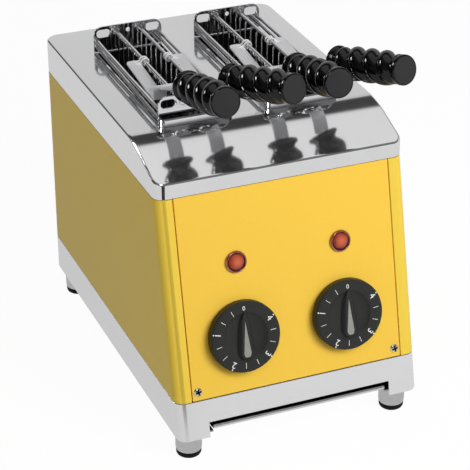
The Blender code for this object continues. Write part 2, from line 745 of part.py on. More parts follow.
def build_lamps():
    """An indicator lamp above each knob: a bright bezel pushed through the panel and a red lens."""
    inner = LAMP_BARREL_RADIUS - LAMP_WALL
    floor = -LAMP_BARREL_LENGTH + LAMP_WALL
    lens_radius = LAMP_RADIUS - LAMP_RIM
    for name, side in (("left", -1), ("right", 1)):
        place = panel_place(side * DIAL_OFFSET, LAMP_HEIGHT)
        bezel = turned(name + "_lamp_bezel", (
            (0, floor), (inner, floor), (inner, GAP), (lens_radius + GAP, GAP + LAMP_RIM_HEIGHT / 4),
            (lens_radius + GAP, LAMP_RIM_HEIGHT), (LAMP_RADIUS - LAMP_RIM / 3, LAMP_RIM_HEIGHT),
            (LAMP_RADIUS, LAMP_RIM_HEIGHT / 2), (LAMP_RADIUS, GAP), (LAMP_BARREL_RADIUS, GAP),
            (LAMP_BARREL_RADIUS, -LAMP_BARREL_LENGTH), (0, -LAMP_BARREL_LENGTH)), 24, chrome())
        seat(bezel, place)
        rest = GAP + LAMP_RIM_HEIGHT / 4 + GAP
        dome = [(lens_radius * math.cos(turn), LAMP_RIM_HEIGHT * 0.7 + LENS_DOME * math.sin(turn))
                for turn in (0, math.pi / 6, math.pi / 3)]
        lens = turned(name + "_lamp_lens", (
            [(0, floor + GAP), (inner - GAP, floor + GAP), (inner - GAP, rest), (lens_radius, rest)]
            + dome + [(0, LAMP_RIM_HEIGHT * 0.7 + LENS_DOME)]), 24, red_lens())
        seat(lens, place)


def build_wiring():
    """The cord gland in the back sheet and the terminal block on the pan behind it."""
    out = GLAND_RIM
    inward = -SHEET - GLAND_INNER_LENGTH
    gland = turned("cord_gland", (
        (GLAND_BORE, inward), (GLAND_BARREL_RADIUS, inward), (GLAND_BARREL_RADIUS, GAP),
        (GLAND_RADIUS, GAP), (GLAND_RADIUS, out * GLAND_SHOULDER_SHARE), (GLAND_RADIUS * 0.85, out), (GLAND_BORE, out),
        (GLAND_BORE, inward)), 20, black_plastic())
    seat(gland, Matrix.Translation((GLAND_OFFSET, BODY_DEPTH, BASE_BOTTOM + GLAND_HEIGHT))
         @ Matrix.Rotation(-math.pi / 2, 4, "X"))
    far = BODY_DEPTH - SHEET - BLOCK_TO_BACK
    low = PAN_TOP + GAP
    block = box("terminal_block", (-BLOCK_WIDTH / 2, far - BLOCK_DEPTH, low),
                (BLOCK_WIDTH / 2, far, low + BLOCK_HEIGHT), ceramic())
    wells = []
    for share in (-1 / 3, 0, 1 / 3):
        x = BLOCK_WIDTH * share
        wells.append(rod("well", (x, far - BLOCK_DEPTH / 2, low + BLOCK_HEIGHT / 2),
                         (x, far - BLOCK_DEPTH / 2, low + BLOCK_HEIGHT + OVERRUN), BLOCK_SCREW_RADIUS, 12))
    cut(block, *wells)


def bracket_plate(name, centre, near, outward):
    """An end bracket: an arched plate with two windows, an eye and two bored bosses."""
    half = TONG_WIDTH / 2
    far = near + SHEET
    low = COVER_TOP + GAP
    top = COVER_TOP + BRACKET_HEIGHT
    arch = [(u, v) for u, v in rounded_rectangle(centre - half, centre + half, low - BRACKET_CORNER, top,
                                                 BRACKET_CORNER) if v > low]
    outline = [(centre + half, low)] + arch + [(centre - half, low)]
    plate = prism(name, outline, near, far, "Y")
    axis = COVER_TOP + JAW_AXIS_HEIGHT
    boss_radius = JAW_AXIS_RADIUS + GAP + BOSS_WALL
    face = far if outward > 0 else near
    tools = []
    for side in (-1, 1):
        x = centre + side * JAW_OFFSET
        boss = rod("boss", (x, face - outward * OVERLAP, axis), (x, face + outward * BOSS_LENGTH, axis),
                   boss_radius, 16)
        join(plate, boss)
        tools.append(rod("bore", (x, near - OVERRUN, axis), (x, far + OVERRUN, axis),
                         JAW_AXIS_RADIUS + GAP, 16))
        inner_edge = JAW_OFFSET + WINDOW_TO_BOSS
        outer_edge = half - WINDOW_EDGE
        near_x, far_x = sorted((centre + side * inner_edge, centre + side * outer_edge))
        window = rounded_rectangle(near_x, far_x, COVER_TOP + WINDOW_LOW, top - WINDOW_EDGE,
                                   BRACKET_CORNER * 0.36, 2)
        tools.append(prism("window", window, near - OVERRUN, far + OVERRUN, "Y"))
    tools.append(rod("eye", (centre, near - OVERRUN, axis), (centre, far + OVERRUN, axis),
                     BRACKET_EYE_RADIUS, 12))
    return cut(plate, *tools)


def build_tong_frame(name, centre):
    """The tong's frame: two brackets, a folded front lip and four rods, welded together."""
    half = TONG_WIDTH / 2 - OVERLAP
    low = COVER_TOP + GAP + OVERLAP
    frame = bracket_plate(name + "_tong_frame", centre, BACK_BRACKET, 1)
    frame.data.materials.clear()
    frame.data.materials.append(chrome())
    front = bracket_plate("front_bracket", centre, FRONT_BRACKET, -1)
    lip_near = SLOT_FRONT - LIP_TO_SLOT - SHEET
    lip_back = FRONT_BRACKET + OVERLAP
    inner = half - SHEET
    outline = [(centre + half, lip_back), (centre + half, lip_near + LIP_CHAMFER),
               (centre + half - LIP_CHAMFER, lip_near), (centre - half + LIP_CHAMFER, lip_near),
               (centre - half, lip_near + LIP_CHAMFER), (centre - half, lip_back),
               (centre - inner, lip_back), (centre - inner, lip_near + LIP_CHAMFER + SHEET / 2),
               (centre - inner + LIP_CHAMFER - SHEET / 2, lip_near + SHEET),
               (centre + inner - LIP_CHAMFER + SHEET / 2, lip_near + SHEET),
               (centre + inner, lip_near + LIP_CHAMFER + SHEET / 2), (centre + inner, lip_back)]
    lip = prism("lip", outline, low, COVER_TOP + LIP_HEIGHT, "Z")
    rods = []
    into = SHEET / 2
    for side in (-1, 1):
        x = centre + side * (half - ROD_INSET)
        rods.append(rod("low_rod", (x, FRONT_BRACKET + into, COVER_TOP + LOW_ROD_FRONT),
                        (x, BACK_BRACKET + into, COVER_TOP + LOW_ROD_BACK), ROD_RADIUS, 10))
        rods.append(rod("high_rod", (x, FRONT_BRACKET + into, COVER_TOP + HIGH_ROD_FRONT),
                        (x, BACK_BRACKET + into, COVER_TOP + HIGH_ROD_BACK), ROD_RADIUS, 10))
    return set_origin(join(frame, front, lip, *rods), (centre, SLOT_FRONT + SLOT_LENGTH / 2, COVER_TOP))


def jaw_axis(centre, side):
    """Where a jaw's hinge axis stands, level with the middle of the slot's length."""
    return Vector((centre + side * JAW_OFFSET, SLOT_FRONT + SLOT_LENGTH / 2, COVER_TOP + JAW_AXIS_HEIGHT))


def build_jaw(name, centre, side):
    """One grid jaw: pivot pins, flat top bar, hanging grid and the ledge the bread stands on."""
    axis = jaw_axis(centre, side)
    first = FRONT_BRACKET + SHEET + GRID_TO_BRACKET
    last = BACK_BRACKET - GRID_TO_BRACKET
    jaw = box(name, (axis.x - BAR_HALF_WIDTH, first, axis.z - BAR_HALF_HEIGHT),
              (axis.x + BAR_HALF_WIDTH, last, axis.z + BAR_HALF_HEIGHT), satin_steel())
    pins = [rod("pin", (axis.x, start, axis.z), (axis.x, end, axis.z), JAW_AXIS_RADIUS, 12)
            for start, end in ((FRONT_BRACKET - BOSS_LENGTH, first + OVERLAP),
                               (last - OVERLAP, BACK_BRACKET + SHEET + BOSS_LENGTH))]
    half = GRID_THICKNESS / 2
    near = first + GRID_WIRE / 4
    far = last - GRID_WIRE / 4
    bottom = axis.z - GRID_DROP
    reach = axis.x - side * LEDGE_WIDTH
    hem = axis.x - side * half
    back = axis.x + side * half
    grid = prism("grid", ((back, axis.z), (hem, axis.z), (hem, bottom + GRID_THICKNESS),
                          (reach, bottom + GRID_THICKNESS), (reach, bottom), (back, bottom)), near, far, "Y")
    pitch = (far - near - GRID_WIRE) / GRID_COLUMNS
    drop = (GRID_DROP - GRID_TOP_STRIP - GRID_WIRE) / GRID_ROWS
    holes = []
    for column in range(GRID_COLUMNS):
        for row in range(GRID_ROWS):
            y = near + GRID_WIRE + column * pitch
            z = axis.z - GRID_TOP_STRIP - row * drop
            holes.append(box("hole", (axis.x - GRID_THICKNESS, y, z - drop + GRID_WIRE),
                             (axis.x + GRID_THICKNESS, y + pitch - GRID_WIRE, z)))
    cut(grid, group("holes", holes))
    return set_origin(join(jaw, *pins, grid), axis)


def handle_frame(centre, side):
    """The handle's axis: its origin at the collar, its Z along the handle."""
    offset = -HANDLE_LEFT_OFFSET if side < 0 else HANDLE_RIGHT_OFFSET
    splay = 0 if side < 0 else HANDLE_SPLAY
    place = Vector((centre + offset, FRONT_BRACKET - HANDLE_FRONT_OF_BRACKET, COVER_TOP + HANDLE_RISE))
    return (Matrix.Translation(place) @ Matrix.Rotation(splay, 4, "Z")
            @ Matrix.Rotation(math.pi / 2 - HANDLE_TILT, 4, "X"))


def build_lever(name, centre, side):
    """A tong lever: clip on the jaw, spring strip beside it, crossbar, rising stem and tang."""
    clip_back = CLIP_BACK
    clip_front = clip_back - CLIP_LENGTH
    cross = FRONT_BRACKET + CROSSBAR_TO_BRACKET
    bend = cross + (clip_front - cross) * STRIP_BEND_SHARE
    top = COVER_TOP + LEVER_TOP
    thick = LEVER_SHEET
    back_height = COVER_TOP + STRIP_BACK_HEIGHT
    low_height = COVER_TOP + STRIP_LOW_HEIGHT
    outer = centre + side * STRIP_OUTER
    inner = centre + side * STRIP_INNER
    path = [(clip_back, top + thick), (clip_back, back_height), (clip_front, back_height - thick / 2),
            (bend, low_height), (cross, low_height), (cross, top + CROSSBAR_HEIGHT - thick / 2),
            (cross + thick, top + CROSSBAR_HEIGHT - thick / 2), (cross + thick, low_height + thick),
            (bend, low_height + thick), (clip_front, back_height + thick / 2),
            (clip_back - thick, back_height + thick), (clip_back - thick, top + thick)]
    lever = prism(name, path, min(outer, inner), max(outer, inner), "X", satin_steel())
    hook = sorted((centre + side * (JAW_OFFSET - CLIP_REACH), outer - side * thick / 2))
    clip = box("clip", (hook[0], clip_front, top), (hook[1], clip_back - thick / 2, top + thick * 0.9))
    frame = handle_frame(centre, side)
    collar = frame.translation
    half = CROSSBAR_WIDTH / 2
    crossbar = box("crossbar", (collar.x - half, cross - thick / 4, top),
                   (collar.x + half, cross + thick * 0.75, top + CROSSBAR_HEIGHT))
    along = frame.to_3x3() @ Vector((0, 0, 1))
    across = frame.to_3x3() @ Vector((1, 0, 0))
    foot = collar - along * GAP
    stem_low = top + CROSSBAR_HEIGHT - thick * 1.25
    stations = ((Vector((collar.x, cross + thick / 2, stem_low)), Vector((1, 0, 0))),
                (Vector((collar.x, cross - thick, stem_low)), Vector((1, 0, 0))),
                (foot - Vector((0, 0, thick / 2)), across))
    shape = bmesh.new()
    rings = []
    stem_half = STEM_WIDTH / 2
    for place, sideways in stations:
        rings.append([shape.verts.new(place + sideways * dx + Vector((0, 0, dz))) for dx, dz in (
            (-stem_half, 0), (stem_half, 0), (stem_half, thick), (-stem_half, thick))])
    for before, after in zip(rings, rings[1:]):
        for index in range(4):
            beside = (index + 1) % 4
            shape.faces.new((before[index], before[beside], after[beside], after[index]))
    shape.faces.new(rings[0])
    shape.faces.new(rings[-1])
    tang = rod("tang", foot - along * TANG_RADIUS, foot + along * TANG_LENGTH, TANG_RADIUS, 12)
    join(lever, clip, crossbar, make("stem", shape, None), tang)
    return set_origin(lever, jaw_axis(centre, side))


def handle_radius(turn, height):
    """The twisted grip's radius: two ridges that wind along the handle."""
    start = COLLAR_LENGTH * 1.6
    stop = HANDLE_LENGTH - END_LENGTH
    share = (height - start) / (stop - start)
    swell = math.sin(math.pi * min(max(share * 4, 0), 0.5)) * math.sin(math.pi * min(max((1 - share) * 4, 0), 0.5))
    wave = abs(math.cos(turn - math.tau * height / HANDLE_PITCH)) ** 0.8
    body = HANDLE_RADIUS - HANDLE_GROOVE * (1 - wave)
    rest = NECK_RADIUS if share < 0.5 else END_RADIUS - HANDLE_GROOVE / 2
    return rest + (body - rest) * swell


def build_handle(name, centre, side):
    """A turned black handle with a collar, a two-start twist and a flat end."""
    shape = bmesh.new()
    levels = [(0, None), (COLLAR_LENGTH * 0.5, None), (COLLAR_LENGTH, None)]
    radii = [COLLAR_RADIUS * 0.9, COLLAR_RADIUS, COLLAR_RADIUS * 0.94]
    start = COLLAR_LENGTH * 1.6
    stop = HANDLE_LENGTH - END_LENGTH
    rings = []
    for (height, _), radius in zip(levels, radii):
        rings.append([(radius, height)] * HANDLE_SIDES)
    for ring in range(HANDLE_RINGS + 1):
        height = start + (stop - start) * ring / HANDLE_RINGS
        rings.append([(handle_radius(math.tau * step / HANDLE_SIDES, height), height)
                      for step in range(HANDLE_SIDES)])
    for height, radius in ((stop + END_LENGTH * 0.15, END_RADIUS), (HANDLE_LENGTH - END_LENGTH * 0.1, END_RADIUS),
                           (HANDLE_LENGTH, END_RADIUS - END_LENGTH * 0.1)):
        rings.append([(radius, height)] * HANDLE_SIDES)
    loops = []
    for ring in rings:
        loops.append([shape.verts.new((radius * math.cos(math.tau * step / HANDLE_SIDES),
                                       radius * math.sin(math.tau * step / HANDLE_SIDES), height))
                      for step, (radius, height) in enumerate(ring)])
    for before, after in zip(loops, loops[1:]):
        for step in range(HANDLE_SIDES):
            beside = (step + 1) % HANDLE_SIDES
            shape.faces.new((before[step], before[beside], after[beside], after[step]))
    shape.faces.new(loops[0])
    shape.faces.new(loops[-1])
    handle = make(name, shape, black_plastic())
    bore = rod("bore", (0, 0, -OVERRUN), (0, 0, TANG_LENGTH + GAP), TANG_RADIUS + GAP, 12)
    seat(cut(handle, bore), handle_frame(centre, side))
    return set_origin(handle, jaw_axis(centre, side))


def build_tongs():
    """Both tongs: each has a frame, two hinged jaws, two levers and two handles."""
    for name, slot in (("left", -1), ("right", 1)):
        centre = slot * SLOT_OFFSET
        build_tong_frame(name, centre)
        for half, side in (("left", -1), ("right", 1)):
            build_jaw("%s_tong_%s_jaw" % (name, half), centre, side)
            build_lever("%s_tong_%s_lever" % (name, half), centre, side)
            build_handle("%s_tong_%s_handle" % (name, half), centre, side)


def stand_on_origin():
    """Shift every piece so that the origin is under the middle of the whole object."""
    bpy.context.view_layer.update()
    pieces = [piece for piece in bpy.context.scene.objects if piece.type == "MESH"]
    corners = [piece.matrix_world @ vert.co for piece in pieces for vert in piece.data.vertices]
    middle_x = (min(c.x for c in corners) + max(c.x for c in corners)) / 2
    middle_y = (min(c.y for c in corners) + max(c.y for c in corners)) / 2
    for piece in pieces:
        piece.matrix_world = Matrix.Translation((-middle_x, -middle_y, 0)) @ piece.matrix_world


for leftover in list(bpy.data.objects):
    bpy.data.objects.remove(leftover)
build_base()
build_pan()
build_feet()
build_tray()
build_casing()
build_panel()
build_screws()
build_cover()
build_chamber()
build_elements()
build_timers()
build_knobs()
build_lamps()
build_wiring()
build_tongs()
stand_on_origin()
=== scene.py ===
import math

import bmesh
import bpy
from mathutils import Matrix, Vector


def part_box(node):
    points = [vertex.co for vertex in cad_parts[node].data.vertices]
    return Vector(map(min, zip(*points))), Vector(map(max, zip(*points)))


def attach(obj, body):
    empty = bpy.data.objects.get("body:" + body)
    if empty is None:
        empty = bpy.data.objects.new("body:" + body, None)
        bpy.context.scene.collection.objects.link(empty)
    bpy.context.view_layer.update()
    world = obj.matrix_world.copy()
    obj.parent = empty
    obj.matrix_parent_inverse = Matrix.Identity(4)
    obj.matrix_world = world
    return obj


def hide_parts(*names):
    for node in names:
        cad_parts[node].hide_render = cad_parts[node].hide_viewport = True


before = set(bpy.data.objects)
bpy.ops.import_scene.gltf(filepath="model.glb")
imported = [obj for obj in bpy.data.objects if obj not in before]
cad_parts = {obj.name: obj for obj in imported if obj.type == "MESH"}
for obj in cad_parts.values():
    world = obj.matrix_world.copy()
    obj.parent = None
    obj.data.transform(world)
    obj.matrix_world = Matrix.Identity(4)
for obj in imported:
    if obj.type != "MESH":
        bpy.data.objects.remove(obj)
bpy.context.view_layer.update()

# The camera stands in front of the toaster, to its left and above, and looks down on it.
# A long lens keeps the upright edges almost parallel.
STAND = (-0.5014, -1.2488, 0.8255)
SENSOR, FOCAL_PIXELS, PHOTO_PIXELS = 36, 1924.74, 470
azimuth, elevation, roll = math.radians(22.206), math.radians(28.307), math.radians(-0.198)
look = Vector((math.sin(azimuth) * math.cos(elevation), math.cos(azimuth) * math.cos(elevation),
               -math.sin(elevation)))
right = Vector((math.cos(azimuth), -math.sin(azimuth), 0))
up = right.cross(look)
right, up = right * math.cos(roll) + up * math.sin(roll), up * math.cos(roll) - right * math.sin(roll)
camera = bpy.data.objects.new("camera", bpy.data.cameras.new("camera"))
bpy.context.collection.objects.link(camera)
turn = Matrix((right, up, -look)).transposed().to_4x4()
camera.matrix_world = Matrix.Translation(STAND) @ turn
camera.data.lens = SENSOR * FOCAL_PIXELS / PHOTO_PIXELS
camera.data.clip_start = 0.05
bpy.context.scene.camera = camera
bpy.context.scene.view_settings.view_transform = "Standard"

# The studio: a white surround with one dark gap between backdrop and ceiling, a dim room behind
# the camera, a pale floor, a broad lamp in front on the right and small ones above and behind.
FLOOR_RADIUS = 6
FLAG_PLACE, FLAG_HALF_WIDTH, FLAG_HALF_HEIGHT = (-0.135, -0.40, 0.15), 0.09, 0.15
LAMP_AIM = Vector((0, 0, 0.15))


def seen_by(nodes, links):
    """The Light Path node, and a sum of it: a ray that comes from the camera, a mirror or glass."""
    path = nodes.new("ShaderNodeLightPath")
    mirrored = nodes.new("ShaderNodeMath")
    mirrored.operation = "MAXIMUM"
    links.new(path.outputs["Is Glossy Ray"], mirrored.inputs[0])
    links.new(path.outputs["Is Transmission Ray"], mirrored.inputs[1])
    visible = nodes.new("ShaderNodeMath")
    visible.operation = "MAXIMUM"
    links.new(path.outputs["Is Camera Ray"], visible.inputs[0])
    links.new(mirrored.outputs[0], visible.inputs[1])
    return path, visible


world = bpy.data.worlds.new("studio")
bpy.context.scene.world = world
world.use_nodes = True
nodes, links = world.node_tree.nodes, world.node_tree.links
nodes.clear()
seen, visible = seen_by(nodes, links)
direction = nodes.new("ShaderNodeTexCoord")
axes = nodes.new("ShaderNodeSeparateXYZ")
links.new(direction.outputs["Generated"], axes.inputs[0])
sky = nodes.new("ShaderNodeValToRGB")
stops = ((0.0, 0.08), (0.05, 0.08), (0.09, 0.76), (0.30, 0.65), (0.47, 0.56), (0.535, 0.55), (0.565, 0.03),
         (0.725, 0.03), (0.765, 0.66), (1.0, 0.76))
while len(sky.color_ramp.elements) < len(stops):
    sky.color_ramp.elements.new(0.5)
for element, (place, grey) in zip(sky.color_ramp.elements, stops):
    element.position = place
    element.color = (grey, grey, grey, 1)
links.new(axes.outputs["Z"], sky.inputs[0])
behind = nodes.new("ShaderNodeMapRange")
behind.inputs["From Min"].default_value = -0.35
behind.inputs["From Max"].default_value = -0.05
links.new(axes.outputs["Y"], behind.inputs["Value"])
room = nodes.new("ShaderNodeValToRGB")
shades = (0.16, (0.76, 0.76, 0.76)), (0.30, (0.13, 0.13, 0.135))
for element, (place, grey) in zip(room.color_ramp.elements, shades):
    element.position = place
    element.color = (*grey, 1)
links.new(axes.outputs["Z"], room.inputs[0])
surround = nodes.new("ShaderNodeMix")
surround.data_type = "RGBA"
links.new(room.outputs[0], surround.inputs["A"])
links.new(behind.outputs[0], surround.inputs["Factor"])
curtain = nodes.new("ShaderNodeMapRange")
curtain.inputs["From Min"].default_value, curtain.inputs["From Max"].default_value = -0.30, -0.12
curtain.inputs["To Min"].default_value = 0.12
links.new(axes.outputs["X"], curtain.inputs["Value"])
darker = nodes.new("ShaderNodeMix")
darker.data_type = "RGBA"
darker.inputs["A"].default_value = (0, 0, 0, 1)
links.new(curtain.outputs[0], darker.inputs["Factor"])
links.new(sky.outputs[0], darker.inputs["B"])
links.new(darker.outputs["Result"], surround.inputs["B"])
backdrop = nodes.new("ShaderNodeMix")
backdrop.data_type = "RGBA"
backdrop.inputs["B"].default_value = (1, 1, 1, 1)
links.new(seen.outputs["Is Camera Ray"], backdrop.inputs["Factor"])
links.new(surround.outputs["Result"], backdrop.inputs["A"])
bright = nodes.new("ShaderNodeBackground")
links.new(backdrop.outputs["Result"], bright.inputs["Color"])
soft = nodes.new("ShaderNodeBackground")
soft.inputs["Color"].default_value = (0.20, 0.20, 0.205, 1)
either = nodes.new("ShaderNodeMixShader")
links.new(visible.outputs[0], either.inputs[0])
links.new(soft.outputs[0], either.inputs[1])
links.new(bright.outputs[0], either.inputs[2])
links.new(either.outputs[0], nodes.new("ShaderNodeOutputWorld").inputs["Surface"])

shape = bmesh.new()
bmesh.ops.create_circle(shape, cap_ends=True, segments=64, radius=FLOOR_RADIUS)
mesh = bpy.data.meshes.new("floor")
shape.to_mesh(mesh)
shape.free()
floor = bpy.data.objects.new("floor", mesh)
bpy.context.collection.objects.link(floor)
paper = bpy.data.materials.new("floor_paper")
paper.use_nodes = True
nodes, links = paper.node_tree.nodes, paper.node_tree.links
nodes.clear()
seen, visible = seen_by(nodes, links)
share = nodes.new("ShaderNodeMath")
share.operation = "MULTIPLY"
share.inputs[1].default_value = 0.90
links.new(visible.outputs[0], share.inputs[0])
level = nodes.new("ShaderNodeMapRange")
level.inputs["To Min"].default_value, level.inputs["To Max"].default_value = 0.70, 1.07
links.new(seen.outputs["Is Camera Ray"], level.inputs["Value"])
matt = nodes.new("ShaderNodeBsdfDiffuse")
matt.inputs["Color"].default_value = (0.38, 0.38, 0.38, 1)
glow = nodes.new("ShaderNodeEmission")
links.new(level.outputs[0], glow.inputs["Strength"])
either = nodes.new("ShaderNodeMixShader")
links.new(share.outputs[0], either.inputs[0])
links.new(matt.outputs[0], either.inputs[1])
links.new(glow.outputs[0], either.inputs[2])
links.new(either.outputs[0], nodes.new("ShaderNodeOutputMaterial").inputs["Surface"])
mesh.materials.append(paper)
shape = bmesh.new()
bmesh.ops.create_grid(shape, x_segments=1, y_segments=1, size=1, matrix=Matrix.Translation(FLAG_PLACE)
                      @ Matrix.Diagonal((FLAG_HALF_WIDTH, 1, FLAG_HALF_HEIGHT, 1))
                      @ Matrix.Rotation(math.pi / 2, 4, "X"))
mesh = bpy.data.meshes.new("dark_flag")
shape.to_mesh(mesh)
shape.free()
flag = bpy.data.objects.new("dark_flag", mesh)
bpy.context.collection.objects.link(flag)
cloth = bpy.data.materials.new("black_flag_cloth")
cloth.use_nodes = True
cloth.node_tree.nodes["Principled BSDF"].inputs["Base Color"].default_value = (0.01, 0.01, 0.01, 1)
cloth.node_tree.nodes["Principled BSDF"].inputs["Roughness"].default_value = 1.0
mesh.materials.append(cloth)
flag.visible_camera = flag.visible_diffuse = flag.visible_shadow = flag.visible_transmission = False
for name, place, size, power, on_matt, on_metal in (
        ("key_lamp", (0.60, -1.30, 1.00), 0.9, 25, True, False),
        ("spark_lamp", (-0.35, -1.0, 1.35), 0.40, 3, True, True),
        ("side_lamp", (-1.02, 0.89, 0.99), 0.36, 8, False, True)):
    lamp = bpy.data.objects.new(name, bpy.data.lights.new(name, "AREA"))
    lamp.data.size = size
    lamp.data.energy = power
    lamp.visible_diffuse, lamp.visible_glossy = on_matt, on_metal
    aim = (LAMP_AIM - Vector(place)).to_track_quat("-Z", "Y").to_matrix().to_4x4()
    lamp.matrix_world = Matrix.Translation(place) @ aim
    bpy.context.collection.objects.link(lamp)

# Base frame: one band of bright stainless sheet, folded round the body and open below.
# Its front leans back like the panel above it and has a notch that the crumb tray passes.
SLOPE = math.radians(12.6)
HALF_WIDTH, FRONT, BACK = 0.0975, -0.1515, 0.1485
BASE_LOW, BASE_HIGH = 0.022, 0.051
SHEET = 0.0015
FRONT_RADIUS, REAR_RADIUS = 0.008, 0.011
NOTCH_HALF, NOTCH_HIGH = 0.07325, 0.0334


def surface(name, dark, light, roughness, metallic, grain, scale=(1, 1, 1), relief=0.0, index=1.5):
    """A finish whose colour and gloss vary a little along its own grain."""
    material = bpy.data.materials.new(name)
    material.use_nodes = True
    nodes, links = material.node_tree.nodes, material.node_tree.links
    shader = nodes["Principled BSDF"]
    shader.inputs["Metallic"].default_value = metallic
    shader.inputs["IOR"].default_value = index
    place = nodes.new("ShaderNodeTexCoord")
    stretch = nodes.new("ShaderNodeMapping")
    stretch.inputs["Scale"].default_value = scale
    links.new(place.outputs["Object"], stretch.inputs["Vector"])
    cloud = nodes.new("ShaderNodeTexNoise")
    cloud.inputs["Scale"].default_value = grain
    cloud.inputs["Detail"].default_value = 4.0
    links.new(stretch.outputs["Vector"], cloud.inputs["Vector"])
    tint = nodes.new("ShaderNodeValToRGB")
    tint.color_ramp.elements[0].position, tint.color_ramp.elements[1].position = 0.3, 0.7
    tint.color_ramp.elements[0].color = (*dark, 1)
    tint.color_ramp.elements[1].color = (*light, 1)
    links.new(cloud.outputs["Fac"], tint.inputs[0])
    links.new(tint.outputs[0], shader.inputs["Base Color"])
    gloss = nodes.new("ShaderNodeMapRange")
    gloss.inputs["From Min"].default_value, gloss.inputs["From Max"].default_value = 0.3, 0.7
    gloss.inputs["To Min"].default_value, gloss.inputs["To Max"].default_value = roughness
    links.new(cloud.outputs["Fac"], gloss.inputs["Value"])
    links.new(gloss.outputs[0], shader.inputs["Roughness"])
    if relief:
        bump = nodes.new("ShaderNodeBump")
        bump.inputs["Strength"].default_value = 1.0
        bump.inputs["Distance"].default_value = relief
        links.new(cloud.outputs["Fac"], bump.inputs["Height"])
        links.new(bump.outputs[0], shader.inputs["Normal"])
    return material


def front_at(height):
    """Where the leaning front stands at a height."""
    return FRONT + (height - BASE_LOW) * math.tan(SLOPE)


def verts_in(made):
    """The vertices among what an operator has made."""
    return [item for item in made if isinstance(item, bmesh.types.BMVert)]


def round_off(shape, geom, radius, segments, affect="EDGES"):
    """Round some edges or corners of a shape."""
    return bmesh.ops.bevel(shape, geom=geom, offset=radius, offset_type="OFFSET", segments=segments,
                           profile=0.5, affect=affect, material=-1)


def walls(low, high):
    """The body's four walls between two heights, with rounded upright corners."""
    shape = bmesh.new()
    bmesh.ops.create_cube(shape, size=1)
    for vert in shape.verts:
        z = high if vert.co.z > 0 else low
        vert.co = (math.copysign(HALF_WIDTH, vert.co.x), front_at(z) if vert.co.y < 0 else BACK, z)
    shape.normal_update()
    caps = [face for face in shape.faces if abs(face.normal.z) > 0.9]
    bmesh.ops.delete(shape, geom=caps, context="FACES_ONLY")
    for radius, at_front in ((FRONT_RADIUS, True), (REAR_RADIUS, False)):
        corners = [edge for edge in shape.edges if abs(edge.verts[0].co.z - edge.verts[1].co.z) > 0.01
                   and (edge.verts[0].co.y < 0) == at_front]
        round_off(shape, corners, radius, 10)
    return shape


def split(shape, faces, point, normal):
    """Cut some faces along a plane."""
    parts = set(faces)
    for face in faces:
        parts.update(face.edges)
        parts.update(face.verts)
    bmesh.ops.bisect_plane(shape, geom=list(parts), plane_co=point, plane_no=normal, dist=1e-6)


def outward(shape):
    """Turn every face to the outside, judged by the face that lies furthest out to the side."""
    bmesh.ops.recalc_face_normals(shape, faces=shape.faces)
    shape.normal_update()
    last = max(shape.faces, key=lambda face: abs(face.calc_center_median().x) * abs(face.normal.x))
    if last.normal.x * last.calc_center_median().x < 0:
        bmesh.ops.reverse_faces(shape, faces=shape.faces)


def piece(name, shape, material, body, stands_for, edge=0.0, wall=0.0, angle=35):
    """A mesh as a named object that rides on a body, with its wall and its eased edges."""
    mesh = bpy.data.meshes.new(name)
    shape.to_mesh(mesh)
    shape.free()
    mesh.shade_smooth()
    made = bpy.data.objects.new(name, mesh)
    bpy.context.collection.objects.link(made)
    mesh.materials.append(material)
    if wall:
        shell = made.modifiers.new("wall", "SOLIDIFY")
        shell.thickness, shell.offset, shell.use_even_offset = wall, -1, True
    if edge:
        eased = made.modifiers.new("eased_edges", "BEVEL")
        eased.width, eased.segments, eased.limit_method = edge, 2, "ANGLE"
        eased.angle_limit = math.radians(angle)
        weighted = made.modifiers.new("flat_faces_stay_flat", "WEIGHTED_NORMAL")
        weighted.weight = 100
    else:
        mesh.set_sharp_from_angle(angle=math.radians(angle))
    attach(made, body)
    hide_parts(*stands_for)


base_steel = surface("bright_base_steel", (0.92, 0.92, 0.93), (0.94, 0.94, 0.95), (0.20, 0.24), 0.88, 900,
                     (0.05, 0.05, 1))
shape = walls(BASE_LOW, BASE_HIGH)
for point, normal in (((-NOTCH_HALF, 0, 0), (1, 0, 0)), ((NOTCH_HALF, 0, 0), (1, 0, 0)),
                      ((0, 0, NOTCH_HIGH), (0, 0, 1))):
    split(shape, [face for face in shape.faces if face.calc_center_median().y < FRONT + FRONT_RADIUS
                  and abs(face.calc_center_median().x) < HALF_WIDTH - FRONT_RADIUS], point, normal)
notch = [face for face in shape.faces if face.calc_center_median().y < FRONT + FRONT_RADIUS
         and abs(face.calc_center_median().x) < NOTCH_HALF and face.calc_center_median().z < NOTCH_HIGH]
bmesh.ops.delete(shape, geom=notch, context="FACES")
outward(shape)
piece("base_frame_shell", shape, base_steel, "body", ["base_frame"], edge=0.0004,
      wall=SHEET)

# Base pan: a flat pressed sheet that closes the underside and holds the feet.
# Its front edge is cut back between the front feet, so that only the tray shows in the notch.
mill_steel = surface("mill_steel", (0.42, 0.42, 0.43), (0.52, 0.52, 0.53), (0.34, 0.46), 1.0, 90, (1, 0.1, 1))
PAN_RADIUS, CUT_DEPTH, CUT_HALF = 0.0065, 0.012, 0.070


def rounded(shape, low, high, radius, rounds=lambda vert: True):
    """The outline of a rectangle in the ground plane, with round corners."""
    made = bmesh.ops.create_grid(shape, x_segments=1, y_segments=1, size=0.5)["verts"]
    for vert in made:
        vert.co = (high[0] if vert.co.x > 0 else low[0], high[1] if vert.co.y > 0 else low[1], 0)
    face = made[0].link_faces[0]
    if radius:
        cut = round_off(shape, [vert for vert in made if rounds(vert)], radius, 5, "VERTICES")
        face = cut["verts"][0].link_faces[0]
    return face


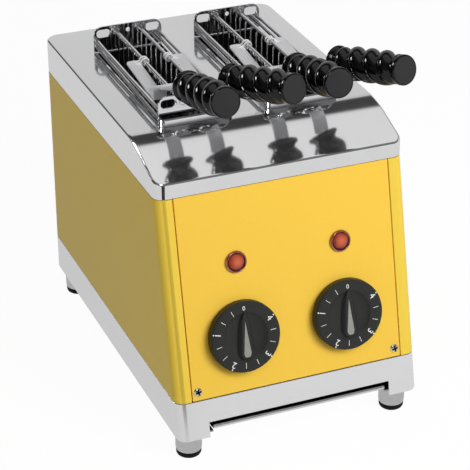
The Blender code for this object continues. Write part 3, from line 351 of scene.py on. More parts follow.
pan_low, pan_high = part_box("base_pan")
shape = bmesh.new()
rounded(shape, (pan_low.x, pan_low.y), (pan_high.x, pan_high.y), PAN_RADIUS)
split(shape, shape.faces[:], (0, pan_low.y + CUT_DEPTH, 0), (0, 1, 0))
for side in (-1, 1):
    front_strip = [face for face in shape.faces if face.calc_center_median().y < pan_low.y + CUT_DEPTH]
    split(shape, front_strip, (side * CUT_HALF, 0, 0), (1, 0, 0))
cut_back = [face for face in shape.faces if face.calc_center_median().y < pan_low.y + CUT_DEPTH
            and abs(face.calc_center_median().x) < CUT_HALF]
bmesh.ops.delete(shape, geom=cut_back, context="FACES")
grown = bmesh.ops.extrude_face_region(shape, geom=shape.faces[:])["geom"]
bmesh.ops.translate(shape, vec=(0, 0, pan_high.z - pan_low.z), verts=verts_in(grown))
bmesh.ops.translate(shape, vec=(0, 0, pan_low.z), verts=shape.verts)
bmesh.ops.recalc_face_normals(shape, faces=shape.faces)
piece("base_pan_sheet", shape, mill_steel, "body", ["base_pan"], edge=0.0003)

# Feet: four satin steel cups turned on a lathe, each screwed through the pan by its stud.
# A black rubber button with a domed underside is pressed into each cup.
cup_steel = surface("satin_foot_steel", (0.56, 0.56, 0.57), (0.70, 0.70, 0.71), (0.30, 0.40), 1.0, 160,
                    (1, 1, 8))
FOOT_X, FOOT_FRONT, FOOT_REAR = 0.084, -0.1335, 0.1305
foot_rubber = surface("foot_rubber", (0.004, 0.004, 0.004), (0.008, 0.008, 0.008), (0.55, 0.75), 0.0, 700,
                      relief=0.00003, index=1.25)


def turned(profile, steps=48):
    """A profile of radius and height pairs, spun about the upright axis."""
    shape = bmesh.new()
    points = [shape.verts.new((radius, 0, height)) for radius, height in profile]
    line = [shape.edges.new(pair) for pair in zip(points, points[1:])]
    bmesh.ops.spin(shape, geom=points + line, cent=(0, 0, 0), axis=(0, 0, 1), angle=math.tau, steps=steps,
                   use_merge=True)
    bmesh.ops.remove_doubles(shape, verts=shape.verts, dist=1e-6)
    bmesh.ops.recalc_face_normals(shape, faces=shape.faces)
    return shape


for corner, side, y in (("front_left", -1, FOOT_FRONT), ("front_right", 1, FOOT_FRONT),
                        ("rear_left", -1, FOOT_REAR), ("rear_right", 1, FOOT_REAR)):
    place = Matrix.Translation((side * FOOT_X, y, 0))
    shape = turned(((0, 0.0050), (0.0094, 0.0050), (0.00985, 0.0060), (0.01, 0.0082), (0.01, 0.0244),
                    (0.003, 0.0244), (0.003, 0.0302), (0, 0.0302)))
    shape.transform(place)
    piece(corner + "_foot_cup", shape, cup_steel, "body", [corner + "_foot"], edge=0.0003)
    shape = turned(((0, 0), (0.0070, 0), (0.0080, 0.00025), (0.0089, 0.0010), (0.0095, 0.0022),
                    (0.0096, 0.0048), (0, 0.0048)))
    shape.transform(place)
    piece(corner + "_foot_button", shape, foot_rubber, "body", [corner + "_foot_pad"],
          angle=50)

# Crumb tray: a shallow tray of thin steel that slides out to the front.
# Its front edge is rolled into a bead, which is all that shows in the notch.
tray_steel = surface("tray_steel", (0.80, 0.80, 0.81), (0.88, 0.88, 0.89), (0.26, 0.34), 1.0, 300,
                     (0.2, 1, 1))
# Near-black dish: painted shade for the dark inside of the notch, on the same steel as the bright bead.
tray_dish_painted_shade = surface("tray_dish_steel_painted_shade", (0.06, 0.055, 0.05), (0.11, 0.10, 0.09), (0.45, 0.60), 1.0, 60)
low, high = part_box("crumb_tray")
TRAY_HALF, TRAY_RADIUS, TRAY_SHEET = 0.07, 0.003, 0.0011
BEAD, BEAD_LENGTH = 0.0016, 0.1398
tray_front, bead_height = low.y + BEAD, low.z + 0.0020
shape = bmesh.new()
bmesh.ops.create_cube(shape, size=1)
for vert in shape.verts:
    y, rim = (tray_front, bead_height) if vert.co.y < 0 else (high.y, high.z)
    vert.co = (math.copysign(TRAY_HALF, vert.co.x), y, rim if vert.co.z > 0 else low.z)
shape.normal_update()
bmesh.ops.delete(shape, geom=[face for face in shape.faces if face.normal.z > 0.9], context="FACES_ONLY")
corners = [edge for edge in shape.edges if abs(edge.verts[0].co.z - edge.verts[1].co.z) > 0.0012
           and abs(edge.verts[0].co.y - edge.verts[1].co.y) < 0.001]
round_off(shape, corners, TRAY_RADIUS, 5)
outward(shape)
piece("crumb_tray_dish", shape, tray_dish_painted_shade, "tray", ["crumb_tray"], edge=0.0003,
      wall=TRAY_SHEET)
shape = bmesh.new()
bmesh.ops.create_cone(shape, cap_ends=True, segments=32, radius1=BEAD, radius2=BEAD, depth=BEAD_LENGTH,
                      matrix=Matrix.Translation((0, tray_front, bead_height))
                      @ Matrix.Rotation(math.pi / 2, 4, "Y"))
piece("crumb_tray_bead", shape, tray_steel, "tray", ["crumb_tray"], edge=0.0005, angle=60)

# Casing: one yellow enamelled sheet bent round both sides and the back.
# Its front edges turn in as returns and step back as flanges that the front panel lies on.
SEAM, SEAM_STEP, FLANGE = 0.085, 0.0019, 0.012
CASING_LOW, CASING_HIGH = 0.0513, 0.2022
enamel = surface("yellow_enamel", (0.93, 0.655, 0.080), (0.95, 0.675, 0.090), (0.12, 0.16), 0.40, 1400,
                 (1, 1, 0.3), index=1.05)
# The panel's enamel is the casing's yellow painted a little deeper, as painted shade on the panel between the
# brighter returns.
panel_enamel_painted_shade = surface("yellow_panel_enamel", (0.88, 0.56, 0.070), (0.90, 0.58, 0.076), (0.28, 0.34), 0.15,
                       1400, (0.3, 1, 1), index=1.08)
shape = walls(CASING_LOW, CASING_HIGH)
for side in (-1, 1):
    split(shape, [face for face in shape.faces if abs(face.calc_center_median().x) < SEAM + 0.001
                  and face.calc_center_median().y < 0], (side * SEAM, 0, 0), (1, 0, 0))
middle = [face for face in shape.faces if abs(face.calc_center_median().x) < SEAM
          and face.calc_center_median().y < 0]
bmesh.ops.delete(shape, geom=middle, context="FACES")
seams = [edge for edge in shape.edges if edge.is_boundary
         and all(abs(abs(vert.co.x) - SEAM) < 1e-5 for vert in edge.verts)]
for step in (Vector((0, SEAM_STEP / math.cos(SLOPE), 0)), Vector((-FLANGE, 0, 0))):
    grown = bmesh.ops.extrude_edge_only(shape, edges=seams)["geom"]
    for vert in verts_in(grown):
        vert.co += Vector((math.copysign(1, vert.co.x) * step.x, step.y, 0))
    seams = [edge for edge in grown if isinstance(edge, bmesh.types.BMEdge)]
outward(shape)
piece("casing_sheet", shape, enamel, "body", ["casing"], edge=0.0003, wall=SHEET)

# Front panel: a flat enamelled sheet let in flush between the casing's returns.
# It is pierced for the timers' bushes, the lamps and the two screws.
PANEL = Matrix.Translation((0, FRONT, BASE_LOW)) @ Matrix.Rotation(math.pi / 2 - SLOPE, 4, "X")
DIAL_X, KNOB_UP, LAMP_UP = 0.0415, 0.0722 / math.cos(SLOPE), 0.1268 / math.cos(SLOPE)
SCREW_X, SCREW_UP = 0.0797, 0.0362 / math.cos(SLOPE)
PANEL_HALF, PANEL_LOW, PANEL_HIGH = 0.0842, 0.0297 / math.cos(SLOPE), 0.1802 / math.cos(SLOPE)
BUSH_HOLE, LAMP_HOLE, SCREW_HOLE = 0.0051, 0.0069, 0.0021


def pierced(outer, holes, thickness):
    """A flat plate with holes in the ground plane, made as thick as it is by drawing it down."""
    plate = bmesh.new()
    for outline in [outer] + list(holes):
        if len(outline) == 3:
            bmesh.ops.create_circle(plate, cap_ends=False, segments=32, radius=outline[2],
                                    matrix=Matrix.Translation((outline[0], outline[1], 0))
                                    @ Matrix.Rotation(0.05, 4, "Z"))
        else:
            face = rounded(plate, outline[0], outline[1], outline[2], rounds=outline[3])
            bmesh.ops.delete(plate, geom=[face], context="FACES_ONLY")
    bmesh.ops.triangle_fill(plate, use_beauty=True, use_dissolve=True, edges=plate.edges)
    bmesh.ops.recalc_face_normals(plate, faces=plate.faces)
    plate.normal_update()
    if plate.faces[:][0].normal.z < 0:
        bmesh.ops.reverse_faces(plate, faces=plate.faces)
    grown = bmesh.ops.extrude_face_region(plate, geom=plate.faces[:])["geom"]
    bmesh.ops.translate(plate, vec=(0, 0, -thickness), verts=verts_in(grown))
    bmesh.ops.recalc_face_normals(plate, faces=plate.faces)
    return plate


panel_holes = [(side * DIAL_X, KNOB_UP, BUSH_HOLE) for side in (-1, 1)]
panel_holes += [(side * DIAL_X, LAMP_UP, LAMP_HOLE) for side in (-1, 1)]
panel_holes += [(side * SCREW_X, SCREW_UP, SCREW_HOLE) for side in (-1, 1)]
shape = pierced(((-PANEL_HALF, PANEL_LOW), (PANEL_HALF, PANEL_HIGH), 0, None), panel_holes, SHEET)
shape.transform(PANEL)
piece("front_panel_sheet", shape, panel_enamel_painted_shade, "body", ["front_panel"], edge=0.00025)

# Panel screws: two pan-head steel screws that clamp the panel's lower corners to the flanges.
# A thin black cross in each head is painted shade that stands for its cross recess, which is not cut into the
# head.
screw_steel = surface("screw_steel", (0.78, 0.75, 0.68), (0.90, 0.87, 0.80), (0.22, 0.32), 1.0, 900)
RECESS_LONG, RECESS_WIDE, RECESS_TURN = 0.0046, 0.0013, 0.23
# Near-black cross: painted shade in place of the shade inside the recess.
painted_recess_shade = surface("recess_shadow", (0.003, 0.003, 0.003), (0.006, 0.006, 0.006), (0.6, 0.7), 0.0, 900,
                      index=1.2)
for name, side in (("left", -1), ("right", 1)):
    shape = turned(((0.0, 0.00165), (0.0009, 0.00165), (0.0016, 0.00155), (0.0024, 0.00125), (0.0030, 0.0008),
                    (0.0033, 0.0003), (0.0018, 0.0003), (0.0018, -0.007), (0, -0.007)), 32)
    shape.transform(PANEL @ Matrix.Translation((side * SCREW_X, SCREW_UP, 0)))
    piece(name + "_panel_screw_head", shape, screw_steel, "body", [name + "_panel_screw"],
          angle=60)
    shape = bmesh.new()
    for across, along in ((RECESS_LONG, RECESS_WIDE), (RECESS_WIDE, RECESS_LONG)):
        bmesh.ops.create_cube(shape, size=1, matrix=Matrix.Diagonal((across, along, 0.0006, 1)))
    shape.transform(PANEL @ Matrix.Translation((side * SCREW_X, SCREW_UP, 0.00148))
                    @ Matrix.Rotation(RECESS_TURN, 4, "Z"))
    piece(name + "_panel_screw_shade_cross", shape, painted_recess_shade, "body", [name + "_panel_screw"])

# Top cover: one polished stainless sheet with a narrow band down every side, a flat top,
# a long slope down to the front and two slots for the tongs.
COVER_LOW, COVER_HIGH, BAND_HIGH, BEND_Y = 0.2025, 0.230, 0.2145, -0.06615
BEND_RADIUS, RIM_RADIUS = 0.0135, 0.002
SLOT_X, SLOT_HALF, SLOT_FRONT, SLOT_BACK, SLOT_RADIUS = 0.0424, 0.0265, -0.0515, 0.0985, 0.003
cover_steel = surface("polished_cover_steel", (0.92, 0.92, 0.93), (0.95, 0.95, 0.96), (0.07, 0.10), 0.97, 40,
                      (1, 0.2, 1))
cover_front = front_at(COVER_LOW)
shape = bmesh.new()
outline = [(cover_front, COVER_LOW), (cover_front, BAND_HIGH), (BEND_Y, COVER_HIGH), (BACK, COVER_HIGH),
           (BACK, COVER_LOW)]
corners = [shape.verts.new((-HALF_WIDTH, y, z)) for y, z in outline]
shape.faces.new(corners)
round_off(shape, [corners[2]], BEND_RADIUS, 12, "VERTICES")
grown = bmesh.ops.extrude_face_region(shape, geom=shape.faces[:])["geom"]
bmesh.ops.translate(shape, vec=(2 * HALF_WIDTH, 0, 0), verts=verts_in(grown))
bmesh.ops.recalc_face_normals(shape, faces=shape.faces)
bmesh.ops.delete(shape, geom=[face for face in shape.faces if face.normal.z < -0.9], context="FACES_ONLY")
for radius, at_front in ((FRONT_RADIUS, True), (REAR_RADIUS, False)):
    corners = [edge for edge in shape.edges if abs(edge.verts[0].co.z - edge.verts[1].co.z) > 0.001
               and abs(edge.verts[0].co.y - edge.verts[1].co.y) < 1e-5
               and (edge.verts[0].co.y < 0) == at_front]
    round_off(shape, corners, radius, 10)
shape.normal_update()
rim = [edge for edge in shape.edges if len(edge.link_faces) == 2
       and min(abs(face.normal.z) for face in edge.link_faces) < 0.1
       and max(face.normal.z for face in edge.link_faces) > 0.5]
round_off(shape, rim, RIM_RADIUS, 4)
shape.normal_update()
flat = max(shape.faces, key=lambda face: face.calc_area() if face.normal.z > 0.999 else 0)
border = flat.edges[:]
bmesh.ops.delete(shape, geom=[flat], context="FACES_ONLY")
for side in (-1, 1):
    face = rounded(shape, (side * SLOT_X - SLOT_HALF, SLOT_FRONT), (side * SLOT_X + SLOT_HALF, SLOT_BACK),
                   SLOT_RADIUS)
    ring = face.edges[:]
    bmesh.ops.translate(shape, vec=(0, 0, COVER_HIGH), verts=face.verts[:])
    bmesh.ops.delete(shape, geom=[face], context="FACES_ONLY")
    border += ring
bmesh.ops.triangle_fill(shape, use_beauty=True, use_dissolve=False, edges=border)
outward(shape)
piece("top_cover_sheet", shape, cover_steel, "body", ["top_cover"], edge=0.0003, wall=SHEET,
      angle=50)

# Heating chamber: an open duct of steel that hangs under the slots, painted near black as painted shade deep
# in the slots.
# The bread hangs in it between the tubes.
duct_painted_shade = surface("dark_duct_painted_shade", (0.035, 0.031, 0.029), (0.07, 0.064, 0.06), (0.50, 0.65), 1.0, 35,
                     (1, 1, 1))


def refinish(node, material):
    """Give a solid that stays as it is a better material."""
    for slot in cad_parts[node].material_slots:
        slot.material = material


refinish("heating_chamber", duct_painted_shade)

# Heating elements: six quartz tubes in two rows, whose ends rest in white ceramic strips.
# The tubes stay unlit, pale and glossy.
tube_quartz = surface("quartz_tube_glass", (0.62, 0.60, 0.57), (0.74, 0.72, 0.69), (0.06, 0.12), 0.0, 60,
                      (1, 0.05, 1))
strip_ceramic = surface("holder_ceramic", (0.70, 0.68, 0.63), (0.80, 0.78, 0.74), (0.55, 0.70), 0.0, 400,
                        relief=0.00004)
for column in ("left", "middle", "right"):
    for row in ("upper", "lower"):
        refinish("%s_%s_quartz_tube" % (row, column), tube_quartz)
    for end in ("front", "rear"):
        refinish("%s_%s_ceramic_strip" % (end, column), strip_ceramic)

# Timers and wiring: two clockwork timers in pale cases behind the panel, each with a steel shaft,
# a ceramic terminal block on the pan and a rubber gland in the back sheet.
timer_case = surface("timer_case_plastic", (0.62, 0.60, 0.54), (0.72, 0.70, 0.64), (0.40, 0.50), 0.0, 300,
                     relief=0.00002)
shaft_steel = surface("ground_shaft_steel", (0.55, 0.55, 0.56), (0.66, 0.66, 0.67), (0.18, 0.26), 1.0, 600)
gland_rubber = surface("gland_rubber", (0.012, 0.012, 0.012), (0.022, 0.022, 0.022), (0.45, 0.60), 0.0, 500,
                       relief=0.00003)
for name in ("left", "right"):
    refinish(name + "_timer", timer_case)
    refinish(name + "_timer_shaft", shaft_steel)
refinish("terminal_block", strip_ceramic)
refinish("cord_gland", gland_rubber)

# Knobs: black moulded discs with a dished face, crossed by a narrow pointer with a grey insert.
# White figures 0 to 4, ticks and dots are printed on the rim.
knob_black = surface("knob_plastic", (0.022, 0.023, 0.021), (0.026, 0.027, 0.025), (0.40, 0.48), 0.0, 900,
                     index=1.33)
insert_grey = surface("pointer_insert", (0.24, 0.24, 0.215), (0.30, 0.30, 0.27), (0.38, 0.50), 0.0, 700)
print_white = surface("white_print", (0.74, 0.74, 0.72), (0.84, 0.84, 0.82), (0.50, 0.60), 0.0, 900)
FACE, GRIP_HIGH, PRINT_HIGH = 0.0082, 0.0088, 0.00006
POINTER_TIP, POINTER_WALL, POINTER_FLARE, POCKET_TIP, POCKET_DEPTH = 0.0203, 0.0013, 1.75, 0.0135, 0.0011
BOWL_RADIUS, BOWL_DEPTH, BOWL_NARROW, BOWL_LONG = 0.0181, 0.0030, 0.95, 1.05
BOWL = ((0, 1), (0.22, 0.99), (0.45, 0.93), (0.65, 0.81), (0.80, 0.64), (0.90, 0.44), (0.96, 0.24),
        (0.985, 0.10), (1.0, 0.02), (1.02, 0))


def grip_outline(margin, tip):
    """The pointer's outline, from its point down to its blunt foot."""
    foot, half, shoulder = 0.0168 - margin, 0.0044 - margin, 0.0024 - margin
    level = 0.0125 - (POINTER_TIP - tip)
    return ((0, tip), (-shoulder, level), (-half, -foot * 0.78), (-half * 0.86, -foot * 0.93),
            (-half * 0.45, -foot), (half * 0.45, -foot), (half * 0.86, -foot * 0.93), (half, -foot * 0.78),
            (shoulder, level))


def block(outline, low, high, pocket=None, depth=0.0, flare=1.0):
    """An outline raised from one height to another, with an optional pocket sunk in its top
    and flanks that may spread towards the foot."""
    shape = bmesh.new()
    top = shape.faces.new([shape.verts.new((x, y, high)) for x, y in outline])
    if pocket:
        hole = shape.faces.new([shape.verts.new((x, y, high)) for x, y in pocket])
        edges = top.edges[:] + hole.edges[:]
        ring = hole.edges[:]
        bmesh.ops.delete(shape, geom=[top, hole], context="FACES_ONLY")
        bmesh.ops.triangle_fill(shape, use_beauty=True, use_dissolve=False, edges=edges)
        sunk = bmesh.ops.extrude_edge_only(shape, edges=ring)["geom"]
        bmesh.ops.translate(shape, vec=(0, 0, -depth), verts=verts_in(sunk))
        bmesh.ops.edgeloop_fill(shape, edges=[item for item in sunk if isinstance(item, bmesh.types.BMEdge)])
    rest = [edge for edge in shape.edges if edge.is_boundary]
    sides = bmesh.ops.extrude_edge_only(shape, edges=rest)["geom"]
    for vert in verts_in(sides):
        vert.co.x, vert.co.z = vert.co.x * flare, low
    bmesh.ops.edgeloop_fill(shape, edges=[item for item in sides if isinstance(item, bmesh.types.BMEdge)])
    bmesh.ops.recalc_face_normals(shape, faces=shape.faces)
    return shape


def lettering(figures, ticks, dots):
    """Printed figures, ticks and dots round a dial, counter-clockwise from its top."""
    print_mesh = bmesh.new()
    for text, angle, radius, size in figures:
        letters = bpy.data.curves.new("figure", "FONT")
        letters.body, letters.size, letters.align_x, letters.align_y = text, size, "CENTER", "CENTER"
        letters.extrude = PRINT_HIGH / 2
        holder = bpy.data.objects.new("figure", letters)
        bpy.context.collection.objects.link(holder)
        bpy.context.view_layer.update()
        flat = bpy.data.meshes.new_from_object(holder.evaluated_get(bpy.context.evaluated_depsgraph_get()))
        flat.transform(Matrix.Rotation(angle, 4, "Z") @ Matrix.Translation((0, radius, 0)))
        print_mesh.from_mesh(flat)
        bpy.data.objects.remove(holder)
        bpy.data.meshes.remove(flat)
    for angle, radius, length, width in ticks:
        bmesh.ops.create_cube(print_mesh, size=1, matrix=Matrix.Rotation(angle, 4, "Z")
                              @ Matrix.Translation((0, radius, 0))
                              @ Matrix.Diagonal((width, length, PRINT_HIGH, 1)))
    for angle, radius, width in dots:
        bmesh.ops.create_cone(print_mesh, cap_ends=True, segments=16, radius1=width, radius2=width,
                              depth=PRINT_HIGH, matrix=Matrix.Rotation(angle, 4, "Z")
                              @ Matrix.Translation((0, radius, 0)))
    return print_mesh


for name, side in (("left", -1), ("right", 1)):
    place = PANEL @ Matrix.Translation((side * DIAL_X, KNOB_UP, 0))
    body = name + "_dial"
    shape = turned([(BOWL_RADIUS * radius, FACE - BOWL_DEPTH * depth) for radius, depth in BOWL]
                   + [(0.0254, FACE), (0.0262, FACE - 0.00012), (0.0269, FACE - 0.0005),
                      (0.0272, FACE - 0.0013), (0.0272, 0.0016), (0.0268, 0.0012), (0.0028, 0.0012),
                      (0.0028, 0.0020)], 72)
    for vert in shape.verts:
        if vert.co.z > FACE - BOWL_DEPTH - 0.0001 and vert.co.xy.length < BOWL_RADIUS * BOWL_LONG:
            vert.co.x, vert.co.y = vert.co.x * BOWL_NARROW, vert.co.y * BOWL_LONG
    shape.normal_update()
    outer = max(shape.faces, key=lambda face: face.calc_center_median().x)
    if outer.normal.x < 0:
        bmesh.ops.reverse_faces(shape, faces=shape.faces)
    shape.transform(place)
    piece(name + "_knob_disc", shape, knob_black, body, [name + "_knob"], angle=50)
    shape = block(grip_outline(0, POINTER_TIP), FACE - 0.0028, GRIP_HIGH,
                  grip_outline(POINTER_WALL, POCKET_TIP), POCKET_DEPTH, POINTER_FLARE)
    shape.transform(place)
    piece(name + "_knob_pointer", shape, knob_black, body, [name + "_knob"], edge=0.00035,
          angle=30)
    shape = block(grip_outline(0.0015, 0.0132), GRIP_HIGH - 0.0008, GRIP_HIGH + 0.00005)
    shape.transform(place)
    piece(name + "_knob_pointer_insert", shape, insert_grey, body, [name + "_knob_insert"],
          edge=0.0002, angle=30)
    step = math.radians(25)
    figures = [(str(value), 3 * value * step, 0.0222, 0.0046 if value == 0 else 0.0068) for value in range(5)]
    ticks = [(count * step, 0.0217, 0.0044, 0.00036) for count in range(12) if count % 3]
    dots = [(3 * value * step, 0.0260, 0.00055) for value in range(1, 5)]
    shape = lettering(figures, ticks, dots)
    shape.transform(place @ Matrix.Translation((0, 0, FACE + PRINT_HIGH / 2)))
    piece(name + "_knob_print", shape, print_white, body, [name + "_knob"])

# Indicator lamps: a bright bezel pushed through the panel round a faceted red lens.
# The lens is darker towards its edge and warmer in the middle, where the bulb stands.
bezel_steel = surface("lamp_bezel_metal", (0.42, 0.20, 0.15), (0.52, 0.27, 0.20), (0.18, 0.26), 1.0, 700)
BULB_UP, BULB_GLOW = 0.002, 0.0062
for name, side in (("left", -1), ("right", 1)):
    place = PANEL @ Matrix.Translation((side * DIAL_X, LAMP_UP, 0))
    shape = turned(((0, -0.0128), (0.0054, -0.0128), (0.0054, 0.0003), (0.0068, 0.0009), (0.0068, 0.0018),
                    (0.0071, 0.0022), (0.0076, 0.0022), (0.0081, 0.0017), (0.0083, 0.0010), (0.0083, 0.0003),
                    (0.0066, 0.0003), (0.0066, -0.014), (0, -0.014)), 48)
    shape.transform(place)
    piece(name + "_lamp_bezel_ring", shape, bezel_steel, "body", [name + "_lamp_bezel"],
          angle=60)
    lens = surface(name + "_lens_plastic", (0.16, 0.010, 0.007), (0.30, 0.025, 0.014), (0.16, 0.24), 0.0,
                   1500)
    nodes, links = lens.node_tree.nodes, lens.node_tree.links
    centre = place @ Vector((0, 0, BULB_UP))
    spot = nodes.new("ShaderNodeMapping")
    spot.inputs["Location"].default_value = [-value / BULB_GLOW for value in centre]
    spot.inputs["Scale"].default_value = (1 / BULB_GLOW, 1 / BULB_GLOW, 1 / BULB_GLOW)
    links.new(nodes["Texture Coordinate"].outputs["Object"], spot.inputs["Vector"])
    ball = nodes.new("ShaderNodeTexGradient")
    ball.gradient_type = "SPHERICAL"
    links.new(spot.outputs["Vector"], ball.inputs["Vector"])
    warm = nodes.new("ShaderNodeMix")
    warm.data_type = "RGBA"
    warm.inputs["B"].default_value = (0.66, 0.15, 0.055, 1)
    links.new(ball.outputs["Fac"], warm.inputs["Factor"])
    links.new(nodes["Color Ramp"].outputs[0], warm.inputs["A"])
    links.new(warm.outputs["Result"], nodes["Principled BSDF"].inputs["Base Color"])
    shape = turned(((0, 0.0034), (0.0022, 0.0032), (0.0042, 0.0027), (0.0058, 0.0019), (0.0064, 0.0013),
                    (0.0064, 0.0011), (0.0051, 0.0011), (0.0051, -0.0125), (0, -0.0125)), 14)
    shape.transform(place)
    piece(name + "_lamp_lens_cap", shape, lens, "body", [name + "_lamp_lens"], edge=0.0001,
          angle=12)

# Tong frames: two arched brackets of polished sheet, joined by a folded front lip
# and by two bright rods along each side. They hang on the cover's slots.
tong_steel = surface("polished_tong_steel", (0.84, 0.84, 0.85), (0.92, 0.92, 0.93), (0.05, 0.10), 1.0, 200)
TONG_HALF, ROD, EYE, BOSS, WASHER = 0.0283, 0.0015, 0.0027, 0.0045, 0.0043
LIP_FRONT, LIP_HIGH, ARCH_RADIUS, WINDOW_RADIUS = -0.0535, 0.0048, 0.007, 0.0027
FRONT_BRACKET, BACK_BRACKET = -0.0465, 0.0988
JAW_X, JAW_Z = 0.0098, 0.2458


def append(shape, other):
    """Put another mesh into a shape."""
    carrier = bpy.data.meshes.new("carrier")
    other.to_mesh(carrier)
    other.free()
    shape.from_mesh(carrier)
    bpy.data.meshes.remove(carrier)


def wires(shape, paths, radius, sides):
    """Round wires along paths of points, each path one bent wire."""
    line = bpy.data.curves.new("wires", "CURVE")
    line.dimensions, line.bevel_depth, line.bevel_resolution, line.use_fill_caps = "3D", radius, sides, True
    for path in paths:
        spline = line.splines.new("POLY")
        spline.points.add(len(path) - 1)
        for point, place in zip(spline.points, path):
            point.co = (*place, 1)
    holder = bpy.data.objects.new("wires", line)
    bpy.context.collection.objects.link(holder)
    bpy.context.view_layer.update()
    mesh = bpy.data.meshes.new_from_object(holder.evaluated_get(bpy.context.evaluated_depsgraph_get()))
    shape.from_mesh(mesh)
    bpy.data.objects.remove(holder)
    bpy.data.meshes.remove(mesh)


def folded(shape, path, across, thickness, round_end=0.0):
    """A strip of sheet folded along a path of points, as wide as the vector across."""
    strip = bmesh.new()
    points = [strip.verts.new(place) for place in path]
    line = [strip.edges.new(pair) for pair in zip(points, points[1:])]
    grown = bmesh.ops.extrude_edge_only(strip, edges=line)["geom"]
    bmesh.ops.translate(strip, vec=across, verts=verts_in(grown))
    if round_end:
        corners = Vector(path[0]), Vector(path[0]) + Vector(across)
        ends = [vert for vert in strip.verts if min((vert.co - corner).length for corner in corners) < 1e-5]
        round_off(strip, ends, round_end, 4, "VERTICES")
    bmesh.ops.recalc_face_normals(strip, faces=strip.faces)
    bmesh.ops.solidify(strip, geom=strip.faces[:], thickness=thickness)
    bmesh.ops.recalc_face_normals(strip, faces=strip.faces)
    append(shape, strip)


def bracket(shape, centre, near, outward_side):
    """An arched end bracket with two windows, an eye and two bored bosses."""
    low, high, axis = 0.0003, 0.021, 0.0158
    holes = [(side * JAW_X, axis, EYE) for side in (-1, 1)] + [(0, axis, 0.0018)]
    for side in (-1, 1):
        near_x, far_x = sorted((side * (JAW_X + 0.0052), side * (TONG_HALF - 0.0021)))
        holes.append(((near_x, 0.0120), (far_x, high - 0.0024), WINDOW_RADIUS, lambda vert: True))
    arch = (-TONG_HALF, low), (TONG_HALF, high), ARCH_RADIUS, lambda vert: vert.co.y > 0.01
    plate = pierced(arch, holes, SHEET)
    for side in (-1, 1):
        ring = turned(((EYE, 0), (EYE, SHEET), (BOSS, SHEET), (BOSS, 0)), 24)
        ring.transform(Matrix.Translation((side * JAW_X, axis, 0 if outward_side < 0 else -SHEET))
                       @ Matrix.Diagonal((1, 1, -outward_side, 1)))
        bmesh.ops.recalc_face_normals(ring, faces=ring.faces)
        append(plate, ring)
        washer = turned(((EYE, 0), (EYE, 0.0010), (WASHER, 0.0010), (WASHER, 0), (EYE, 0)), 24)
        washer.transform(Matrix.Translation((side * JAW_X, axis, -SHEET - 0.0010 if outward_side < 0 else 0)))
        append(plate, washer)
    plate.transform(Matrix.Translation((centre, near, COVER_HIGH)) @ Matrix.Rotation(math.pi / 2, 4, "X"))
    append(shape, plate)


for name, slot_side in (("left", -1), ("right", 1)):
    centre = slot_side * SLOT_X
    shape = bmesh.new()
    bracket(shape, centre, FRONT_BRACKET, -1)
    bracket(shape, centre, BACK_BRACKET, 1)
    half, near = TONG_HALF - 0.0001, LIP_FRONT
    lip = [(centre + x, y, COVER_HIGH + 0.0004) for x, y in (
        (half, FRONT_BRACKET), (half, near + 0.003), (half - 0.0009, near + 0.0009),
        (half - 0.003, near), (-half + 0.003, near), (-half + 0.0009, near + 0.0009),
        (-half, near + 0.003), (-half, FRONT_BRACKET))]
    folded(shape, lip, (0, 0, LIP_HIGH), SHEET)
    rods = []
    for side in (-1, 1):
        x = centre + side * (TONG_HALF - 0.0020)
        rods.append([(x, FRONT_BRACKET + 0.0007, COVER_HIGH + 0.0026),
                     (x, BACK_BRACKET + 0.0007, COVER_HIGH + 0.0052)])
        rods.append([(x, FRONT_BRACKET + 0.0007, COVER_HIGH + 0.0102),
                     (x, BACK_BRACKET + 0.0007, COVER_HIGH + 0.0100)])
    wires(shape, rods, ROD, 5)
    piece(name + "_tong_frame_work", shape, tong_steel, name + "_tong", [name + "_tong_frame"],
          edge=0.00025, angle=40)

# Jaws: each is a grid of bright wire that hangs from one thicker top wire between the brackets.
# The upright wires turn in at the bottom as the ledge that the bread stands on.
wire_steel = surface("bright_wire_steel", (0.76, 0.76, 0.77), (0.86, 0.86, 0.87), (0.08, 0.14), 1.0, 500)
WIRE, TOP_WIRE, BAR_END, UPRIGHTS, LEDGE = 0.0008, 0.0014, 0.0024, 13, 0.0086
JAW_DROP, MIDDLE_DROP = 0.1158, 0.0579
for name, slot_side in (("left", -1), ("right", 1)):
    for half, side in (("left", -1), ("right", 1)):
        x = slot_side * SLOT_X + side * JAW_X
        first, last = FRONT_BRACKET + SHEET + 0.003, BACK_BRACKET - 0.003
        bottom = JAW_Z - JAW_DROP
        shape = bmesh.new()
        wires(shape, [[(x, first, JAW_Z), (x, last, JAW_Z)]], TOP_WIRE, 5)
        for start, end in ((FRONT_BRACKET - 0.0015, first + 0.0012),
                           (last - 0.0012, BACK_BRACKET + SHEET + 0.0015)):
            wires(shape, [[(x, start, JAW_Z), (x, end, JAW_Z)]], BAR_END, 6)
        uprights = []
        for count in range(UPRIGHTS):
            y = first + 0.0015 + (last - first - 0.003) * count / (UPRIGHTS - 1)
            uprights.append([(x + side * 0.0018, y, JAW_Z + 0.0006), (x + side * 0.0016, y, JAW_Z - 0.0012),
                             (x, y, JAW_Z - 0.0034), (x, y, bottom + 0.0025),
                             (x - side * 0.0008, y, bottom + 0.0010), (x - side * 0.0025, y, bottom + 0.0008),
                             (x - side * LEDGE, y, bottom + 0.0008)])
        wires(shape, uprights, WIRE, 2)
        rows = [(x + side * 0.0013, JAW_Z - MIDDLE_DROP), (x + side * 0.0013, bottom + 0.0040),
                (x - side * LEDGE, bottom + 0.0008)]
        wires(shape, [[(across, first, z), (across, last, z)] for across, z in rows], WIRE, 2)
        node = "%s_tong_%s_jaw" % (name, half)
        piece(node + "_grid", shape, wire_steel, "%s_tong_%s_half" % (name, half), [node],
              angle=60)

